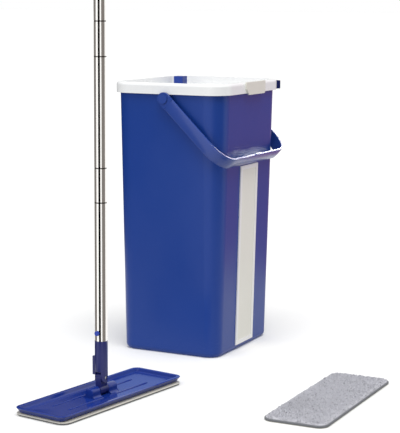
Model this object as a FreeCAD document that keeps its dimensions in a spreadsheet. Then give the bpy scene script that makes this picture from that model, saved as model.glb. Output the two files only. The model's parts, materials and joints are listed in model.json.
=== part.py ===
import FreeCAD, Part
import math
import os
import re

import Sketcher
from FreeCAD import Placement, Rotation, Vector

# A flat mop with its bucket. The frame's origin is the centre of the bucket's base on the floor,
# +Z is up, the bucket's front faces -Y and the mop stands on the -X side.
# Every driving size is one row of the sheet; all lengths are millimetres and angles degrees.
SIZES = [
    ("shell_top", 417.2, "height of the bucket shell's open edge"),
    ("base_length", 197.5, "shell length along X at the base"),
    ("base_width", 165.2, "shell width along Y at the base"),
    ("base_radius", 21.0, "corner radius at the base"),
    ("shell_draft", 9.25, "how far each shell wall leans out from base to edge"),
    ("wall", 2.6, "shell wall"),
    ("floor_wall", 4.0, "shell floor"),
    ("base_fillet", 8.0, "rounding where the walls meet the floor"),
    ("part_gap", 0.3, "gap between pieces that move apart"),
    ("rim_overlap", 13.8, "how far the rim's skirt hangs below the shell's edge"),
    ("rim_plate", 2.5, "thickness of the rim's top"),
    ("rim_wall", 2.5, "thickness of the skirt and inner wall"),
    ("rim_margin", 5.0, "how far the skirt stands out from the shell on each side"),
    ("rim_radius", 33.0, "corner radius of the skirt"),
    ("rim_round", 4.5, "rounding of the rim's outer top edge"),
    ("deck_drop", 12.0, "depth of the deck below the rim's top"),
    ("deck_wall", 2.5, "deck thickness"),
    ("rim_fit", 0.7, "gap between the shell and the rim's inner wall"),
    ("wash_margin", 24.05, "rim's inner wall to each end of the wash slot"),
    ("wash_width", 54.0, "width along X of the wash slot"),
    ("wash_inset", 56.2, "rim's left inner wall to the middle of the wash slot"),
    ("chute_depth", 290.0, "how far the wash chute hangs below the deck"),
    ("chute_wall", 2.0, "wall of the wash chute"),
    ("chute_flange", 4.0, "width of the flange that the chute hangs by"),
    ("chute_solid", 30.0, "plain length at each end of the chute, above and below its windows"),
    ("chute_bar", 26.0, "height of the bars between the chute's windows"),
    ("chute_post", 24.8, "plain width at each side of the chute's windows"),
    ("wring_width", 36.0, "width along X of the wringing slot"),
    ("wring_margin", 30.05, "rim's inner wall to each end of the wringing slot"),
    ("wring_inset", 46.2, "rim's right inner wall to the middle of the wringing slot"),
    ("cassette_depth", 36.0, "how far the scraper cassette hangs below the deck"),
    ("cassette_wall", 3.0, "wall of the scraper cassette"),
    ("cassette_flange", 11.0, "width of the cassette's flange"),
    ("blade_wall", 2.4, "scraper blade thickness"),
    ("blade_reach", 26.0, "scraper blade height"),
    ("blade_lean", 27.0, "lean of each blade from upright"),
    ("tab_side", 16.0, "side of the cassette's finger tab"),
    ("tab_rise", 1.0, "how far the finger tab stands above the rim"),
    ("tab_across", 14.0, "middle of the wringing slot to the middle of the finger tab"),
    ("tab_foot", 2.0, "how much wider the finger tab's foot is on each side"),
    ("screw_radius", 2.0, "radius of the cassette's screws"),
    ("screw_cover", 0.8, "deck left above a screw's end"),
    ("blade_below", 9.0, "deck's underside down to the root of a blade"),
    ("clip_length", 70.0, "length of the front clip"),
    ("clip_x", 2.0, "centre of the front clip"),
    ("clip_wall", 2.5, "how far the front clip stands out from the skirt"),
    ("clip_drop", 2.4, "how far the front clip hangs below the skirt"),
    ("clip_rise", 0.5, "how far the clip's top stands above the rim"),
    ("clip_slant", 9.0, "how far the clip's lower left corner is cut back"),
    ("clip_chamfer", 3.0, "cut of the clip's lower right corner"),
    ("corner_reach", 5.5, "how far the corner tab stands out"),
    ("corner_width", 18.0, "width of the corner tab"),
    ("corner_height", 13.0, "height of the corner tab"),
    ("corner_low", 1.0, "skirt's lower edge up to the corner tab"),
    ("strip_width", 63.0, "width of the front strip"),
    ("strip_below", 125.7, "shell's edge down to the front strip's top"),
    ("strip_sunk", 0.9, "how far the strip's panel lies below its border"),
    ("strip_border_width", 6.2, "width of the strip's raised border"),
    ("strip_recess", 1.0, "depth of the recess that the strip sits in"),
    ("strip_proud", 1.7, "how far the strip's border stands out"),
    ("pivot_below", 20.5, "depth of the bail's pivot below the shell's edge"),
    ("bail_reach", 139.5, "pivot to the outer face of the bail's grip"),
    ("bail_wall", 4.0, "thickness of the bail's band"),
    ("bail_band", 20.0, "width of the bail's band"),
    ("bail_corner", 36.0, "outer radius of the bail's corners"),
    ("bail_soft", 1.2, "rounding of the band's edges"),
    ("bail_angle", 44.0, "how far the resting bail hangs below level"),
    ("bail_standoff", 6.7, "gap between the shell and the inside of the bail"),
    ("nub_length", 15.0, "length of the nub on the bail's grip"),
    ("nub_x", -6.0, "place of the nub along the grip"),
    ("nub_rise", 2.2, "how far the nub stands up from the band"),
    ("stud_radius", 4.95, "radius of the pivot studs"),
    ("boss_step", 1.3, "how much larger than the stud its boss is"),
    ("rivet_head", 2.0, "thickness of a rivet's head and its reach past the stud"),
    ("rivet_shank", 9.0, "length of a rivet's shank"),
    ("stud_fit", 0.05, "running clearance on pins and studs"),
    ("rivet_radius", 2.0, "radius of the rivet shanks"),
    ("mop_x", -369.0, "place of the mop along X"),
    ("mop_y", -37.0, "place of the mop along Y"),
    ("mop_turn", -9.0, "turn of the mop's long axis from X"),
    ("plate_length", 264.0, "length of the mop plate over its rim"),
    ("plate_width", 86.0, "width of the mop plate over its rim"),
    ("plate_wall", 8.0, "height of the mop plate"),
    ("plate_tuck", 5.0, "how far the plate's side tapers in at the bottom"),
    ("plate_rim", 7.0, "width of the plate's raised rim"),
    ("panel_wall", 3.0, "thickness of the plate inside its rim"),
    ("plate_radius", 11.0, "corner radius of the plate"),
    ("pile_height", 2.5, "pile under the mop, pressed flat"),
    ("backing_wall", 0.9, "thickness of the pad's backing"),
    ("hook_wall", 0.6, "thickness of the hook strips"),
    ("hook_width", 20.0, "width of each hook strip"),
    ("hook_inset", 17.0, "plate's end to the end of a hook strip"),
    ("hook_apart", 43.0, "distance between the middles of the hook strips"),
    ("ridge_start", 12.0, "joint's middle to the start of a ridge, along the plate"),
    ("ridge_end", 86.0, "joint's middle to the end of a ridge, along the plate"),
    ("ridge_apart", 28.0, "distance between the two lines of ridges"),
    ("ridge_width", 2.4, "width of the panel's ridges"),
    ("ridge_rise", 0.9, "height of the panel's ridges"),
    ("pad_length", 262.0, "length of the pad"),
    ("pad_width", 90.0, "width of the pad"),
    ("pad_radius", 14.0, "corner radius of the pad"),
    ("knuckle_radius", 6.5, "radius of the tilt joint's knuckles"),
    ("knuckle_length", 18.0, "length of each plate knuckle"),
    ("knuckle_rise", 0.5, "gap between the panel and the swivel's barrel"),
    ("block_length", 17.8, "length of the swivel block's barrel"),
    ("block_wall", 9.0, "thickness of the swivel block between the fork legs"),
    ("lug_radius", 7.0, "radius of the swivel block's upper end"),
    ("pin_radius", 2.5, "radius of both joint pins"),
    ("pin_rise", 17.5, "height of the fold pin above the tilt pin"),
    ("socket_step", 0.4, "how much larger than the rods the pole socket is"),
    ("leg_rise", 8.4, "fold pin up to where the fork legs widen to the socket"),
    ("socket_top", 82.6, "height of the pole socket's shoulder"),
    ("spigot_length", 28.0, "length of the spigot inside the lowest rod"),
    ("spigot_wall", 1.8, "wall of the spigot"),
    ("pole_radius", 8.5, "radius of the rods"),
    ("rod_wall", 0.9, "wall of the rods"),
    ("rod_pitch", 195.7, "length of one rod"),
    ("first_seam", 273.3, "height of the lowest seam between rods"),
    ("crimp_rise", 46.0, "height of the crimp ring above a rod's lower end"),
    ("crimp_width", 1.4, "width of the crimp groove"),
    ("crimp_depth", 0.35, "depth of the crimp groove"),
    ("joiner_below", 26.0, "how far a joiner reaches into the rod below"),
    ("joiner_past", 4.0, "how far a joiner reaches past the crimp ring"),
    ("joiner_wall", 3.0, "wall of the joiners"),
    ("grip_wall", 3.5, "thickness of the hand grip over the rod"),
    ("grip_dome", 8.4, "rounding of the grip's top"),
    ("grip_bead", 8.0, "length of the bead at the grip's foot"),
    ("grip_waist", 1.4, "how much narrower the grip's waist is"),
    ("grip_flat", 7.5, "axis of the grip to the flats of its head"),
    ("grip_flat_low", 32.0, "top of the rods to the lower end of the flats"),
    ("hang_below", 22.0, "grip's top down to the middle of the hanging hole"),
    ("grip_sleeve", 112.0, "length of the grip's sleeve over the top rod"),
    ("grip_head", 80.0, "length of the grip above the top rod"),
    ("hang_radius", 7.0, "radius of the hanging hole"),
    ("slide_length", 26.0, "length of the lock slide"),
    ("slide_key_low", 8.0, "slide's lower end up to its key"),
    ("slide_half", 4.0, "half the width of the lock slide"),
    ("slide_proud", 3.5, "how far the lock slide stands out"),
    ("slide_low", 34.0, "height of the lock slide's lower end"),
    ("slide_travel", 6.0, "travel of the lock slide"),
    ("slide_key", 1.2, "depth of the slide's key in the socket"),
    ("button_radius", 3.3, "radius of the snap button"),
    ("button_up", 11.2, "height of the snap button above the socket's shoulder"),
    ("button_proud", 2.2, "how far the snap button stands out of the rod"),
    ("button_flange", 0.9, "how much larger than the button its flange is"),
    ("spring_wall", 0.6, "thickness of the button's leaf spring"),
    ("spring_width", 3.6, "width of the button's leaf spring"),
    ("spring_length", 18.0, "length of the button's leaf spring"),
    ("spring_below", 4.0, "button's middle down to the spring's lower end"),
    ("spring_room", 3.0, "rod's axis to the inner end of the button"),
    ("spare_x", -232.0, "place of the spare pad along X"),
    ("spare_y", -319.0, "place of the spare pad along Y"),
    ("spare_pile", 6.6, "loose pile of the spare pad"),
]
ROD_COUNT = 5
WINDOW_COUNT = 4

# Sizes that follow from the sheet's. Each may use the ones after it.
FOLLOWING = {
    "wash_x": "(wash_inset - open_length / 2)",
    "wring_x": "(open_length / 2 - wring_inset)",
    "slot_length": "(open_width - 2 * wash_margin)",
    "wring_length": "(open_width - 2 * wring_margin)",
    "open_length": "(inner_length - 2 * rim_wall)",
    "open_width": "(inner_width - 2 * rim_wall)",
    "inner_length": "(top_length - 2 * wall - 2 * rim_fit)",
    "inner_width": "(top_width - 2 * wall - 2 * rim_fit)",
    "top_length": "(base_length + 2 * shell_draft)",
    "top_width": "(base_width + 2 * shell_draft)",
    "top_radius": "(base_radius + shell_draft)",
    "strip_top": "(shell_top - strip_below)",
    "socket_radius": "(pole_radius + socket_step)",
    "grip_radius": "(pole_radius + grip_wall)",
}
# How far a cutting tool runs past the face that it cuts, and how far joined solids sink together.
OVER = 1
SINK = 0.2

doc = FreeCAD.newDocument("mop_and_bucket")
sheet = doc.addObject("Spreadsheet::Sheet", "sizes")
for row, (alias, value, note) in enumerate(SIZES, start=1):
    sheet.set(f"A{row}", str(value))
    sheet.setAlias(f"A{row}", alias)
    sheet.set(f"B{row}", note)
doc.recompute()
subparts = {}


def size(alias):
    """One value of the sheet as a number."""
    return float(sheet.get(alias))


def cells(text):
    """An expression in aliases, written with the sheet's name in front of each alias."""
    for name, longer in FOLLOWING.items():
        text = re.sub(rf"\b{name}\b", longer, text)
    return re.sub(r"\b(?!atan\b)([a-z]\w*)\b", r"sizes.\1", text)


def bind(thing, **properties):
    """Bind properties to the sheet. A double underscore in a name stands for a dot."""
    for name, text in properties.items():
        thing.setExpression(name.replace("__", "."), cells(text))


def keep(node, thing, mop=False, turn=None):
    """Name a finished sub-part, and carry it to the mop's place where it belongs to the mop."""
    thing.Label = node
    if mop:
        place = Vector(size("mop_x"), size("mop_y"), 0)
        thing.Placement = Placement(place, Rotation(Vector(0, 0, 1), size("mop_turn")))
        bind(thing, Placement__Base__x="mop_x", Placement__Base__y="mop_y")
    if turn is not None:
        thing.Placement = turn
    subparts[node] = thing
    return thing


def box(name, length, width, height, x="0", y="0", low="0"):
    """A box centred on x and y, standing on the height low."""
    solid = doc.addObject("Part::Box", name)
    bind(solid, Length=length, Width=width, Height=height)
    bind(solid, Placement__Base__x=f"{x} - ({length}) / 2")
    bind(solid, Placement__Base__y=f"{y} - ({width}) / 2", Placement__Base__z=low)
    return solid


def rod(name, radius, length, x="0", y="0", low="0", axis="Z"):
    """A cylinder whose start is at x, y, low and which runs along one axis."""
    solid = doc.addObject("Part::Cylinder", name)
    turns = {"X": (Vector(0, 1, 0), 90), "Y": (Vector(1, 0, 0), -90), "Z": (Vector(0, 0, 1), 0)}
    solid.Placement = Placement(Vector(0, 0, 0), Rotation(*turns[axis]))
    bind(solid, Radius=radius, Height=length)
    bind(solid, Placement__Base__x=x, Placement__Base__y=y, Placement__Base__z=low)
    return solid


def fuse(name, *solids):
    """Join solids into one piece."""
    joined = doc.addObject("Part::MultiFuse", name)
    joined.Shapes = list(solids)
    return joined


def cut(name, base, *tools):
    """Take the tools out of the base, one after the other."""
    result = base
    for index, tool in enumerate(tools):
        step = doc.addObject("Part::Cut", f"{name}_{index}")
        step.Base = result
        step.Tool = tool
        result = step
    return result


def common(name, *solids):
    """Keep only what all the solids share."""
    result = doc.addObject("Part::MultiCommon", name)
    result.Shapes = list(solids)
    return result


def group(name, *solids):
    """Separate solids that share one node."""
    result = doc.addObject("Part::Compound", name)
    result.Links = list(solids)
    return result


def plane(body, role="XY_Plane"):
    """One of a body's own origin planes."""
    return next(item for item in body.Origin.OriginFeatures if item.Role == role)


def rounded_sketch(body, name, length, width, radius, height):
    """A rounded rectangle centred on the Z axis, at a height, with its three sizes bound."""
    doc.recompute()
    long_half = doc_value(length) / 2
    wide_half = doc_value(width) / 2
    arc = doc_value(radius)
    sketch = body.newObject("Sketcher::SketchObject", name)
    sketch.AttachmentSupport = [(plane(body), "")]
    sketch.MapMode = "FlatFace"
    bind(sketch, AttachmentOffset__Base__z=height)
    x_in = long_half - arc
    y_in = wide_half - arc
    runs = [
        (Vector(-x_in, -wide_half), Vector(x_in, -wide_half)),
        (Vector(long_half, -y_in), Vector(long_half, y_in)),
        (Vector(x_in, wide_half), Vector(-x_in, wide_half)),
        (Vector(-long_half, y_in), Vector(-long_half, -y_in)),
    ]
    centres = [(x_in, -y_in, 270), (x_in, y_in, 0), (-x_in, y_in, 90), (-x_in, -y_in, 180)]
    for start, end in runs:
        sketch.addGeometry(Part.LineSegment(start, end))
    for x, y, first in centres:
        circle = Part.Circle(Vector(x, y), Vector(0, 0, 1), arc)
        low, high = math.radians(first), math.radians(first + 90)
        sketch.addGeometry(Part.ArcOfCircle(circle, low, high))
    for corner in range(4):
        following = (corner + 1) % 4
        sketch.addConstraint(Sketcher.Constraint("Tangent", corner, 2, corner + 4, 1))
        sketch.addConstraint(Sketcher.Constraint("Tangent", corner + 4, 2, following, 1))
    for line, kind in enumerate(("Horizontal", "Vertical", "Horizontal", "Vertical")):
        sketch.addConstraint(Sketcher.Constraint(kind, line))
    for arc_index in (5, 6, 7):
        sketch.addConstraint(Sketcher.Constraint("Equal", 4, arc_index))
    sketch.addConstraint(Sketcher.Constraint("Symmetric", 0, 1, 2, 1, -1, 1))
    measures = [
        ("along", Sketcher.Constraint("DistanceX", 3, 1, 1, 2, 2 * long_half), length),
        ("across", Sketcher.Constraint("DistanceY", 0, 1, 2, 2, 2 * wide_half), width),
        ("corner", Sketcher.Constraint("Radius", 4, arc), radius),
    ]
    for label, constraint, text in measures:
        index = sketch.addConstraint(constraint)
        sketch.renameConstraint(index, label)
        sketch.setExpression(f"Constraints.{label}", cells(text))
    return sketch


def doc_value(text):
    """The number that an expression in aliases has now."""
    return float(sheet.evalExpression(cells(text).replace("sizes.", "")))


def prism(name, length, width, radius, low, high):
    """An upright rounded block between two heights."""
    body = doc.addObject("PartDesign::Body", name)
    outline = rounded_sketch(body, f"{name}_outline", length, width, radius, low)
    pad = body.newObject("PartDesign::Pad", f"{name}_pad")
    pad.Profile = outline
    bind(pad, Length=f"({high}) - ({low})")
    doc.recompute()
    return body


def taper(name, length, width, radius, low, high, lean):
    """A rounded block whose walls lean out from its lower outline by an angle."""
    body = doc.addObject("PartDesign::Body", name)
    outline = rounded_sketch(body, f"{name}_outline", length, width, radius, low)
    pad = body.newObject("PartDesign::Pad", f"{name}_pad")
    pad.Profile = outline
    bind(pad, Length=f"({high}) - ({low})", TaperAngle=lean)
    doc.recompute()
    return body


def round_edges(body, name, radius, chosen):
    """Fillet the edges of a body's tip that the test chosen picks."""
    tip = body.Tip
    edges = [f"Edge{i + 1}" for i, edge in enumerate(tip.Shape.Edges) if chosen(edge)]
    fillet = body.newObject("PartDesign::Fillet", name)
    fillet.Base = (tip, edges)
    bind(fillet, Radius=radius)
    doc.recompute()


def at_height(edge, height):
    """Whether an edge lies flat at a height."""
    return abs(edge.BoundBox.ZMin - height) < 1e-3 and abs(edge.BoundBox.ZMax - height) < 1e-3


# Heights and half sizes that several pieces share, as expressions of the sheet.
RIM_UNDER = "shell_top + part_gap"
RIM_TOP = f"{RIM_UNDER} + rim_plate"
SKIRT_LOW = "shell_top - rim_overlap"
DECK_TOP = f"{RIM_TOP} - deck_drop"
DECK_LOW = f"{DECK_TOP} - deck_wall"
RIM_LENGTH = "top_length + 2 * rim_margin"
RIM_WIDTH = "top_width + 2 * rim_margin"
PIVOT_HEIGHT = "shell_top - pivot_below"
BAIL_INSIDE = "(top_length / 2 + bail_standoff)"
STUD_END = f"({BAIL_INSIDE} + bail_wall + part_gap)"
PLATE_LOW = "pile_height + backing_wall + hook_wall"
PLATE_TOP = f"{PLATE_LOW} + plate_wall"
PANEL_TOP = f"{PLATE_LOW} + panel_wall"
TILT_HEIGHT = f"{PANEL_TOP} + knuckle_radius + knuckle_rise"
FOLD_HEIGHT = f"{TILT_HEIGHT} + pin_rise"
ROD_BORE = "pole_radius - rod_wall"
BUTTON_HEIGHT = "socket_top + button_up"
KEY_LOW = "slide_low + slide_key_low"
TAB_X = "wring_x + tab_across"
TAB_Y = "wring_length / 2 + cassette_wall + tab_side / 2"
CHUTE_LOW = f"{DECK_LOW} - chute_depth"
COLLAR_LOW = f"{DECK_LOW} - cassette_depth"
FLANGE_LOW = f"{DECK_LOW} - cassette_wall"


# The two sides of a pair, and the turn that points a rod along X the other way.
SIDES = ((-1, "left"), (1, "right"))
LEFTWARD = Rotation(Vector(0, 1, 0), -90)


def front_tilt():
    """The lean of the shell's front wall from upright, in degrees."""
    return math.degrees(math.atan2(size("shell_draft"), size("shell_top")))


def on_front(thing, x_low, inward, up):
    """Place a box in the frame of the leaning front wall, inward from its outer surface."""
    lean = Rotation(Vector(1, 0, 0), front_tilt())
    foot = Vector(0, -size("base_width") / 2, 0)
    thing.Placement = Placement(foot + lean.multVec(Vector(x_low, inward, up)), lean)


def front_box(name, width, low, high, inward, outward):
    """A box on the front wall, from a depth inward to a height outward of its surface."""
    solid = doc.addObject("Part::Box", name)
    bind(solid, Length=width, Width=f"({inward}) + ({outward})", Height=f"({high}) - ({low})")
    on_front(solid, -doc_value(width) / 2, -doc_value(outward), doc_value(low))
    return solid


def bucket_shell():
    """The tapered tub: outer loft, hollow loft, recess for the strip, and the two pivot studs."""
    lean = "atan(shell_draft / shell_top)"
    outer = taper("shell_outer", "base_length", "base_width", "base_radius", "0", "shell_top", lean)
    round_edges(outer, "shell_foot", "base_fillet", lambda edge: at_height(edge, 0))
    inset = "(wall - shell_draft * floor_wall / shell_top)"
    hollow = taper("shell_hollow", f"base_length - 2 * {inset}", f"base_width - 2 * {inset}",
                   f"base_radius - {inset}", "floor_wall", f"shell_top + {OVER}", lean)
    floor = size("floor_wall")
    round_edges(hollow, "shell_floor", "base_fillet - wall", lambda edge: at_height(edge, floor))
    recess = front_box(
        "strip_pocket", "strip_width + 2 * part_gap", "base_fillet", "strip_top + part_gap",
        "strip_recess", "strip_proud + wall",
    )
    tub = cut("tub", outer, hollow, recess)
    studs = []
    root = "(top_length / 2 - wall)"
    for side, name in SIDES:
        boss = rod(f"{name}_boss", "stud_radius + boss_step", f"{BAIL_INSIDE} - part_gap - {root}",
                   f"{side} * {root}", low=PIVOT_HEIGHT, axis="X")
        stud = rod(f"{name}_stud", "stud_radius", f"{STUD_END} - {root}", f"{side} * {root}",
                   low=PIVOT_HEIGHT, axis="X")
        for piece in (boss, stud):
            if side < 0:
                piece.Placement = Placement(piece.Placement.Base, LEFTWARD)
        studs += [boss, stud]
    solid = fuse("tub_with_studs", tub, *studs)
    holes = [rivet_shank(f"{name}_rivet_hole", side) for side, name in SIDES]
    keep("bucket_shell", cut("shell_part", solid, *holes))


def rivet_shank(name, side):
    """The shank of a bail rivet, or the hole for it, inside a stud."""
    shank = rod(name, "rivet_radius", "rivet_shank", f"{side} * {STUD_END}", low=PIVOT_HEIGHT, axis="X")
    if side > 0:
        shank.Placement = Placement(shank.Placement.Base, LEFTWARD)
    return shank


def bail_rivets():
    """Two push-in rivets: a shank inside each stud and a head that keeps the bail on."""
    pieces = []
    for side, name in SIDES:
        head = rod(f"{name}_rivet_head", "stud_radius + rivet_head", "rivet_head",
                   f"{side} * {STUD_END}", low=PIVOT_HEIGHT, axis="X")
        if side < 0:
            head.Placement = Placement(head.Placement.Base, LEFTWARD)
        pieces.append(fuse(f"{name}_rivet", rivet_shank(f"{name}_shank", side), head))
    keep("bail_rivets", group("rivet_pair", *pieces))


def front_strip():
    """The upright strip on the front: a raised border with a flat panel inside it."""
    low = "base_fillet + part_gap"
    outer = front_box("border_outer", "strip_width", low, "strip_top", "strip_recess", "strip_proud")
    inside = "strip_width - 2 * strip_border_width"
    window = front_box("border_window", inside, f"{low} + strip_border_width",
                       "strip_top - strip_border_width", f"strip_recess + {OVER}",
                       f"strip_proud + {OVER}")
    keep("strip_border", cut("border_part", outer, window))
    panel = front_box("panel_part", f"{inside} - part_gap",
                      f"{low} + strip_border_width + part_gap / 2",
                      "strip_top - strip_border_width - part_gap / 2", "strip_recess",
                      "strip_proud - strip_sunk")
    keep("strip_panel", panel)


def bail_handle():
    """The carrying bail: a band bent into a U, lying against the front, with an eye at each end."""
    body = doc.addObject("PartDesign::Body", "bail_band_body")
    sketch = body.newObject("Sketcher::SketchObject", "bail_outline")
    sketch.AttachmentSupport = [(plane(body), "")]
    sketch.MapMode = "FlatFace"
    outer, reach = doc_value(f"{BAIL_INSIDE} + bail_wall"), size("bail_reach")
    band, bend = size("bail_wall"), size("bail_corner")
    inner = outer - band
    bail_path(sketch, outer, reach, bend)
    bail_path(sketch, inner, reach - band, bend - band)
    sketch.addGeometry(Part.LineSegment(Vector(-outer, 0), Vector(-inner, 0)))
    sketch.addGeometry(Part.LineSegment(Vector(outer, 0), Vector(inner, 0)))
    for near, far, cap, end in ((0, 5, 10, 1), (4, 9, 11, 2)):
        sketch.addConstraint(Sketcher.Constraint("Coincident", near, end, cap, 1))
        sketch.addConstraint(Sketcher.Constraint("Coincident", far, end, cap, 2))
    pad = body.newObject("PartDesign::Pad", "bail_pad")
    pad.Profile = sketch
    bind(pad, Length="bail_band")
    pad.Midplane = True
    doc.recompute()

    def along_band(edge):
        """Whether an edge runs along the band, not across its ends."""
        low = edge.BoundBox.ZMin
        return at_height(edge, low) and abs(low) > 1 and edge.BoundBox.YMin < -1

    round_edges(body, "bail_soften", "bail_soft", along_band)
    eyes = []
    holes = []
    for side, name in SIDES:
        inside = BAIL_INSIDE if side > 0 else f"0 - {BAIL_INSIDE} - bail_wall"
        eyes.append(rod(f"{name}_eye", "bail_band / 2", "bail_wall", inside, axis="X"))
        holes.append(rod(f"{name}_eye_hole", "stud_radius + stud_fit", f"bail_wall + 2 * {OVER}",
                         f"{inside} - {OVER}", axis="X"))
    nub = box("bail_nub", "nub_length", "bail_wall - bail_soft", f"nub_rise + {SINK}", x="nub_x",
              y="0 - bail_reach + bail_wall / 2", low=f"bail_band / 2 - {SINK}")
    solid = fuse("bail_solid", body, *eyes, nub)
    part = cut("bail_part", solid, *holes)
    lean = Rotation(Vector(1, 0, 0), size("bail_angle"))
    keep("bail_handle", part, turn=Placement(Vector(0, 0, doc_value(PIVOT_HEIGHT)), lean))


def bail_path(sketch, half, reach, bend):
    """One side of the band: down an arm, round the corner, along the grip and back up."""
    first = sketch.GeometryCount
    points = [Vector(-half, 0), Vector(-half, bend - reach), Vector(bend - half, -reach)]
    sketch.addGeometry(Part.LineSegment(points[0], points[1]))
    for side in (-1, 1):
        circle = Part.Circle(Vector(side * (half - bend), bend - reach), Vector(0, 0, 1), bend)
        low, high = (math.pi, 1.5 * math.pi) if side < 0 else (1.5 * math.pi, 2 * math.pi)
        sketch.addGeometry(Part.ArcOfCircle(circle, low, high))
        if side < 0:
            sketch.addGeometry(Part.LineSegment(points[2], Vector(half - bend, -reach)))
    sketch.addGeometry(Part.LineSegment(Vector(half, bend - reach), Vector(half, 0)))
    for index in range(first, first + 4):
        sketch.addConstraint(Sketcher.Constraint("Coincident", index, 2, index + 1, 1))


def rim_frame():
    """The white top: a rounded skirt, an inner wall, and a sunken deck with its slots."""
    outer = prism("rim_outer", RIM_LENGTH, RIM_WIDTH, "rim_radius", SKIRT_LOW, RIM_TOP)
    top = doc_value(RIM_TOP)
    round_edges(outer, "rim_lip", "rim_round", lambda edge: at_height(edge, top))
    channel = prism("rim_channel", f"{RIM_LENGTH} - 2 * rim_wall", f"{RIM_WIDTH} - 2 * rim_wall",
                    "rim_radius - rim_wall", f"{SKIRT_LOW} - {OVER}", RIM_UNDER)
    inner = prism("rim_inner", "inner_length", "inner_width", "top_radius - wall - rim_fit", DECK_LOW,
                  f"{RIM_UNDER} + {OVER}")
    opening = prism("rim_opening", "open_length", "open_width", "top_radius - wall - rim_fit - rim_wall",
                    DECK_TOP, f"{RIM_TOP} + {OVER}")
    through = f"deck_wall + 2 * {OVER}"
    below = f"{DECK_LOW} - {OVER}"
    wash = box("wash_slot", "wash_width", "slot_length", through, x="wash_x", low=below)
    wring = box("wring_slot", "wring_width", "wring_length", through, x="wring_x", low=below)
    tab_hole = box("tab_hole", "tab_side + 2 * part_gap", "tab_side + 2 * part_gap", through,
                   x=TAB_X, y=TAB_Y, low=below)
    drilled = [rod(f"deck_hole_{i}", "screw_radius", "deck_wall - screw_cover", x, y, DECK_LOW)
               for i, (x, y) in enumerate(screw_places())]
    ring = cut("rim_ring", outer, channel)
    solid = fuse("rim_solid", ring, inner)
    keep("rim_frame", cut("rim_part", solid, opening, wash, wring, tab_hole, *drilled))


def screw_places():
    """The centres of the four cassette screws, in the flange beside the slot."""
    reach = "(wring_width / 2 + cassette_wall + (cassette_flange - cassette_wall) / 2)"
    return [(f"wring_x + {sx} * {reach}", f"{sy} * wring_length / 3")
            for sx in (-1, 1) for sy in (-1, 1)]


def wash_chute():
    """The hanging chamber below the wash slot, with a flange on the deck and side windows."""
    tube_width = "(wash_width - 2 * part_gap)"
    tube_length = "(slot_length - 2 * part_gap)"
    tube = box("chute_tube", tube_width, tube_length, "chute_depth + deck_wall", x="wash_x",
               low=CHUTE_LOW)
    flange = box("chute_lip", "wash_width + 2 * chute_flange", "slot_length + 2 * chute_flange",
                 "chute_wall", x="wash_x", low=DECK_TOP)
    bore = box("chute_bore", f"{tube_width} - 2 * chute_wall", f"{tube_length} - 2 * chute_wall",
               f"chute_depth + deck_wall + chute_wall + 2 * {OVER}", x="wash_x",
               low=f"{CHUTE_LOW} - {OVER}")
    pitch = f"(chute_depth - 2 * chute_solid) / {WINDOW_COUNT}"
    windows = [box(f"chute_window_{level}", f"wash_width + 2 * {OVER}",
                   "slot_length - 2 * chute_post", f"{pitch} - chute_bar", x="wash_x",
                   low=f"{CHUTE_LOW} + chute_solid + {level} * {pitch}")
               for level in range(WINDOW_COUNT)]
    solid = fuse("chute_whole", tube, flange)
    keep("wash_chute", cut("chute_part", solid, bore, *windows))


def wringer_cassette():
    """The blue scraper holder under the deck: flange, collar, and the tab that stands up."""
    flange = box("cassette_lip", "wring_width + 2 * cassette_flange",
                 "wring_length + 2 * cassette_wall", "cassette_wall", x="wring_x", low=FLANGE_LOW)
    collar = box("cassette_collar", "wring_width + 2 * cassette_wall",
                 "wring_length + 2 * cassette_wall", "cassette_depth", x="wring_x", low=COLLAR_LOW)
    bore = box("cassette_bore", "wring_width", "wring_length", f"cassette_depth + 2 * {OVER}",
               x="wring_x", low=f"{COLLAR_LOW} - {OVER}")
    tab_base = box("tab_base", "tab_side + 2 * tab_foot", "tab_side + 4 * tab_foot",
                   "cassette_wall", x=TAB_X, y=f"{TAB_Y} - tab_foot", low=FLANGE_LOW)
    tab = box("tab_post", "tab_side", "tab_side", f"{RIM_TOP} + tab_rise - ({FLANGE_LOW})",
              x=TAB_X, y=TAB_Y, low=FLANGE_LOW)
    holes = [rod(f"cassette_hole_{i}", "screw_radius", f"cassette_wall + 2 * {OVER}", x, y,
                 f"{FLANGE_LOW} - {OVER}")
             for i, (x, y) in enumerate(screw_places())]
    frame = cut("cassette_frame", fuse("cassette_solid", flange, collar, tab_base), bore, *holes)
    keep("wringer_cassette", fuse("cassette_part", frame, tab))


def cassette_screws():
    """Four pan-head screws from below, through the flange into the deck."""
    head_wall = "(screw_radius * 0.9)"
    screws = []
    for index, (x, y) in enumerate(screw_places()):
        shank = rod(f"screw_shank_{index}", "screw_radius",
                    "cassette_wall + deck_wall - screw_cover", x, y, FLANGE_LOW)
        head = rod(f"screw_head_{index}", "screw_radius * 1.9", head_wall, x, y,
                   f"{FLANGE_LOW} - {head_wall}")
        screws.append(fuse(f"screw_{index}", shank, head))
    keep("cassette_screws", group("screw_set", *screws))


def scraper_blades():
    """Two rubber blades that lean in from the collar's long walls and leave the wringing gap."""
    blades = []
    for side, name in SIDES:
        blade = doc.addObject("Part::Box", f"{name}_blade")
        bind(blade, Length="blade_wall", Width="wring_length - 2 * part_gap", Height="blade_reach")
        lean = Rotation(Vector(0, 1, 0), 180 + side * size("blade_lean"))
        root = Vector(
            doc_value("wring_x") + side * (size("wring_width") / 2 - SINK),
            -doc_value("wring_length") / 2 + size("part_gap"),
            doc_value(f"{DECK_LOW} - blade_below"),
        )
        shift = Vector(-size("blade_wall") / 2, 0, 0)
        blade.Placement = Placement(root + lean.multVec(shift), lean)
        blades.append(blade)
    pair = group("blade_pair", *blades)
    collar = box("blade_room", "wring_width", "wring_length", "cassette_depth", x="wring_x",
                 low=COLLAR_LOW)
    keep("scraper_blades", common("blade_part", pair, collar))


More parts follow.
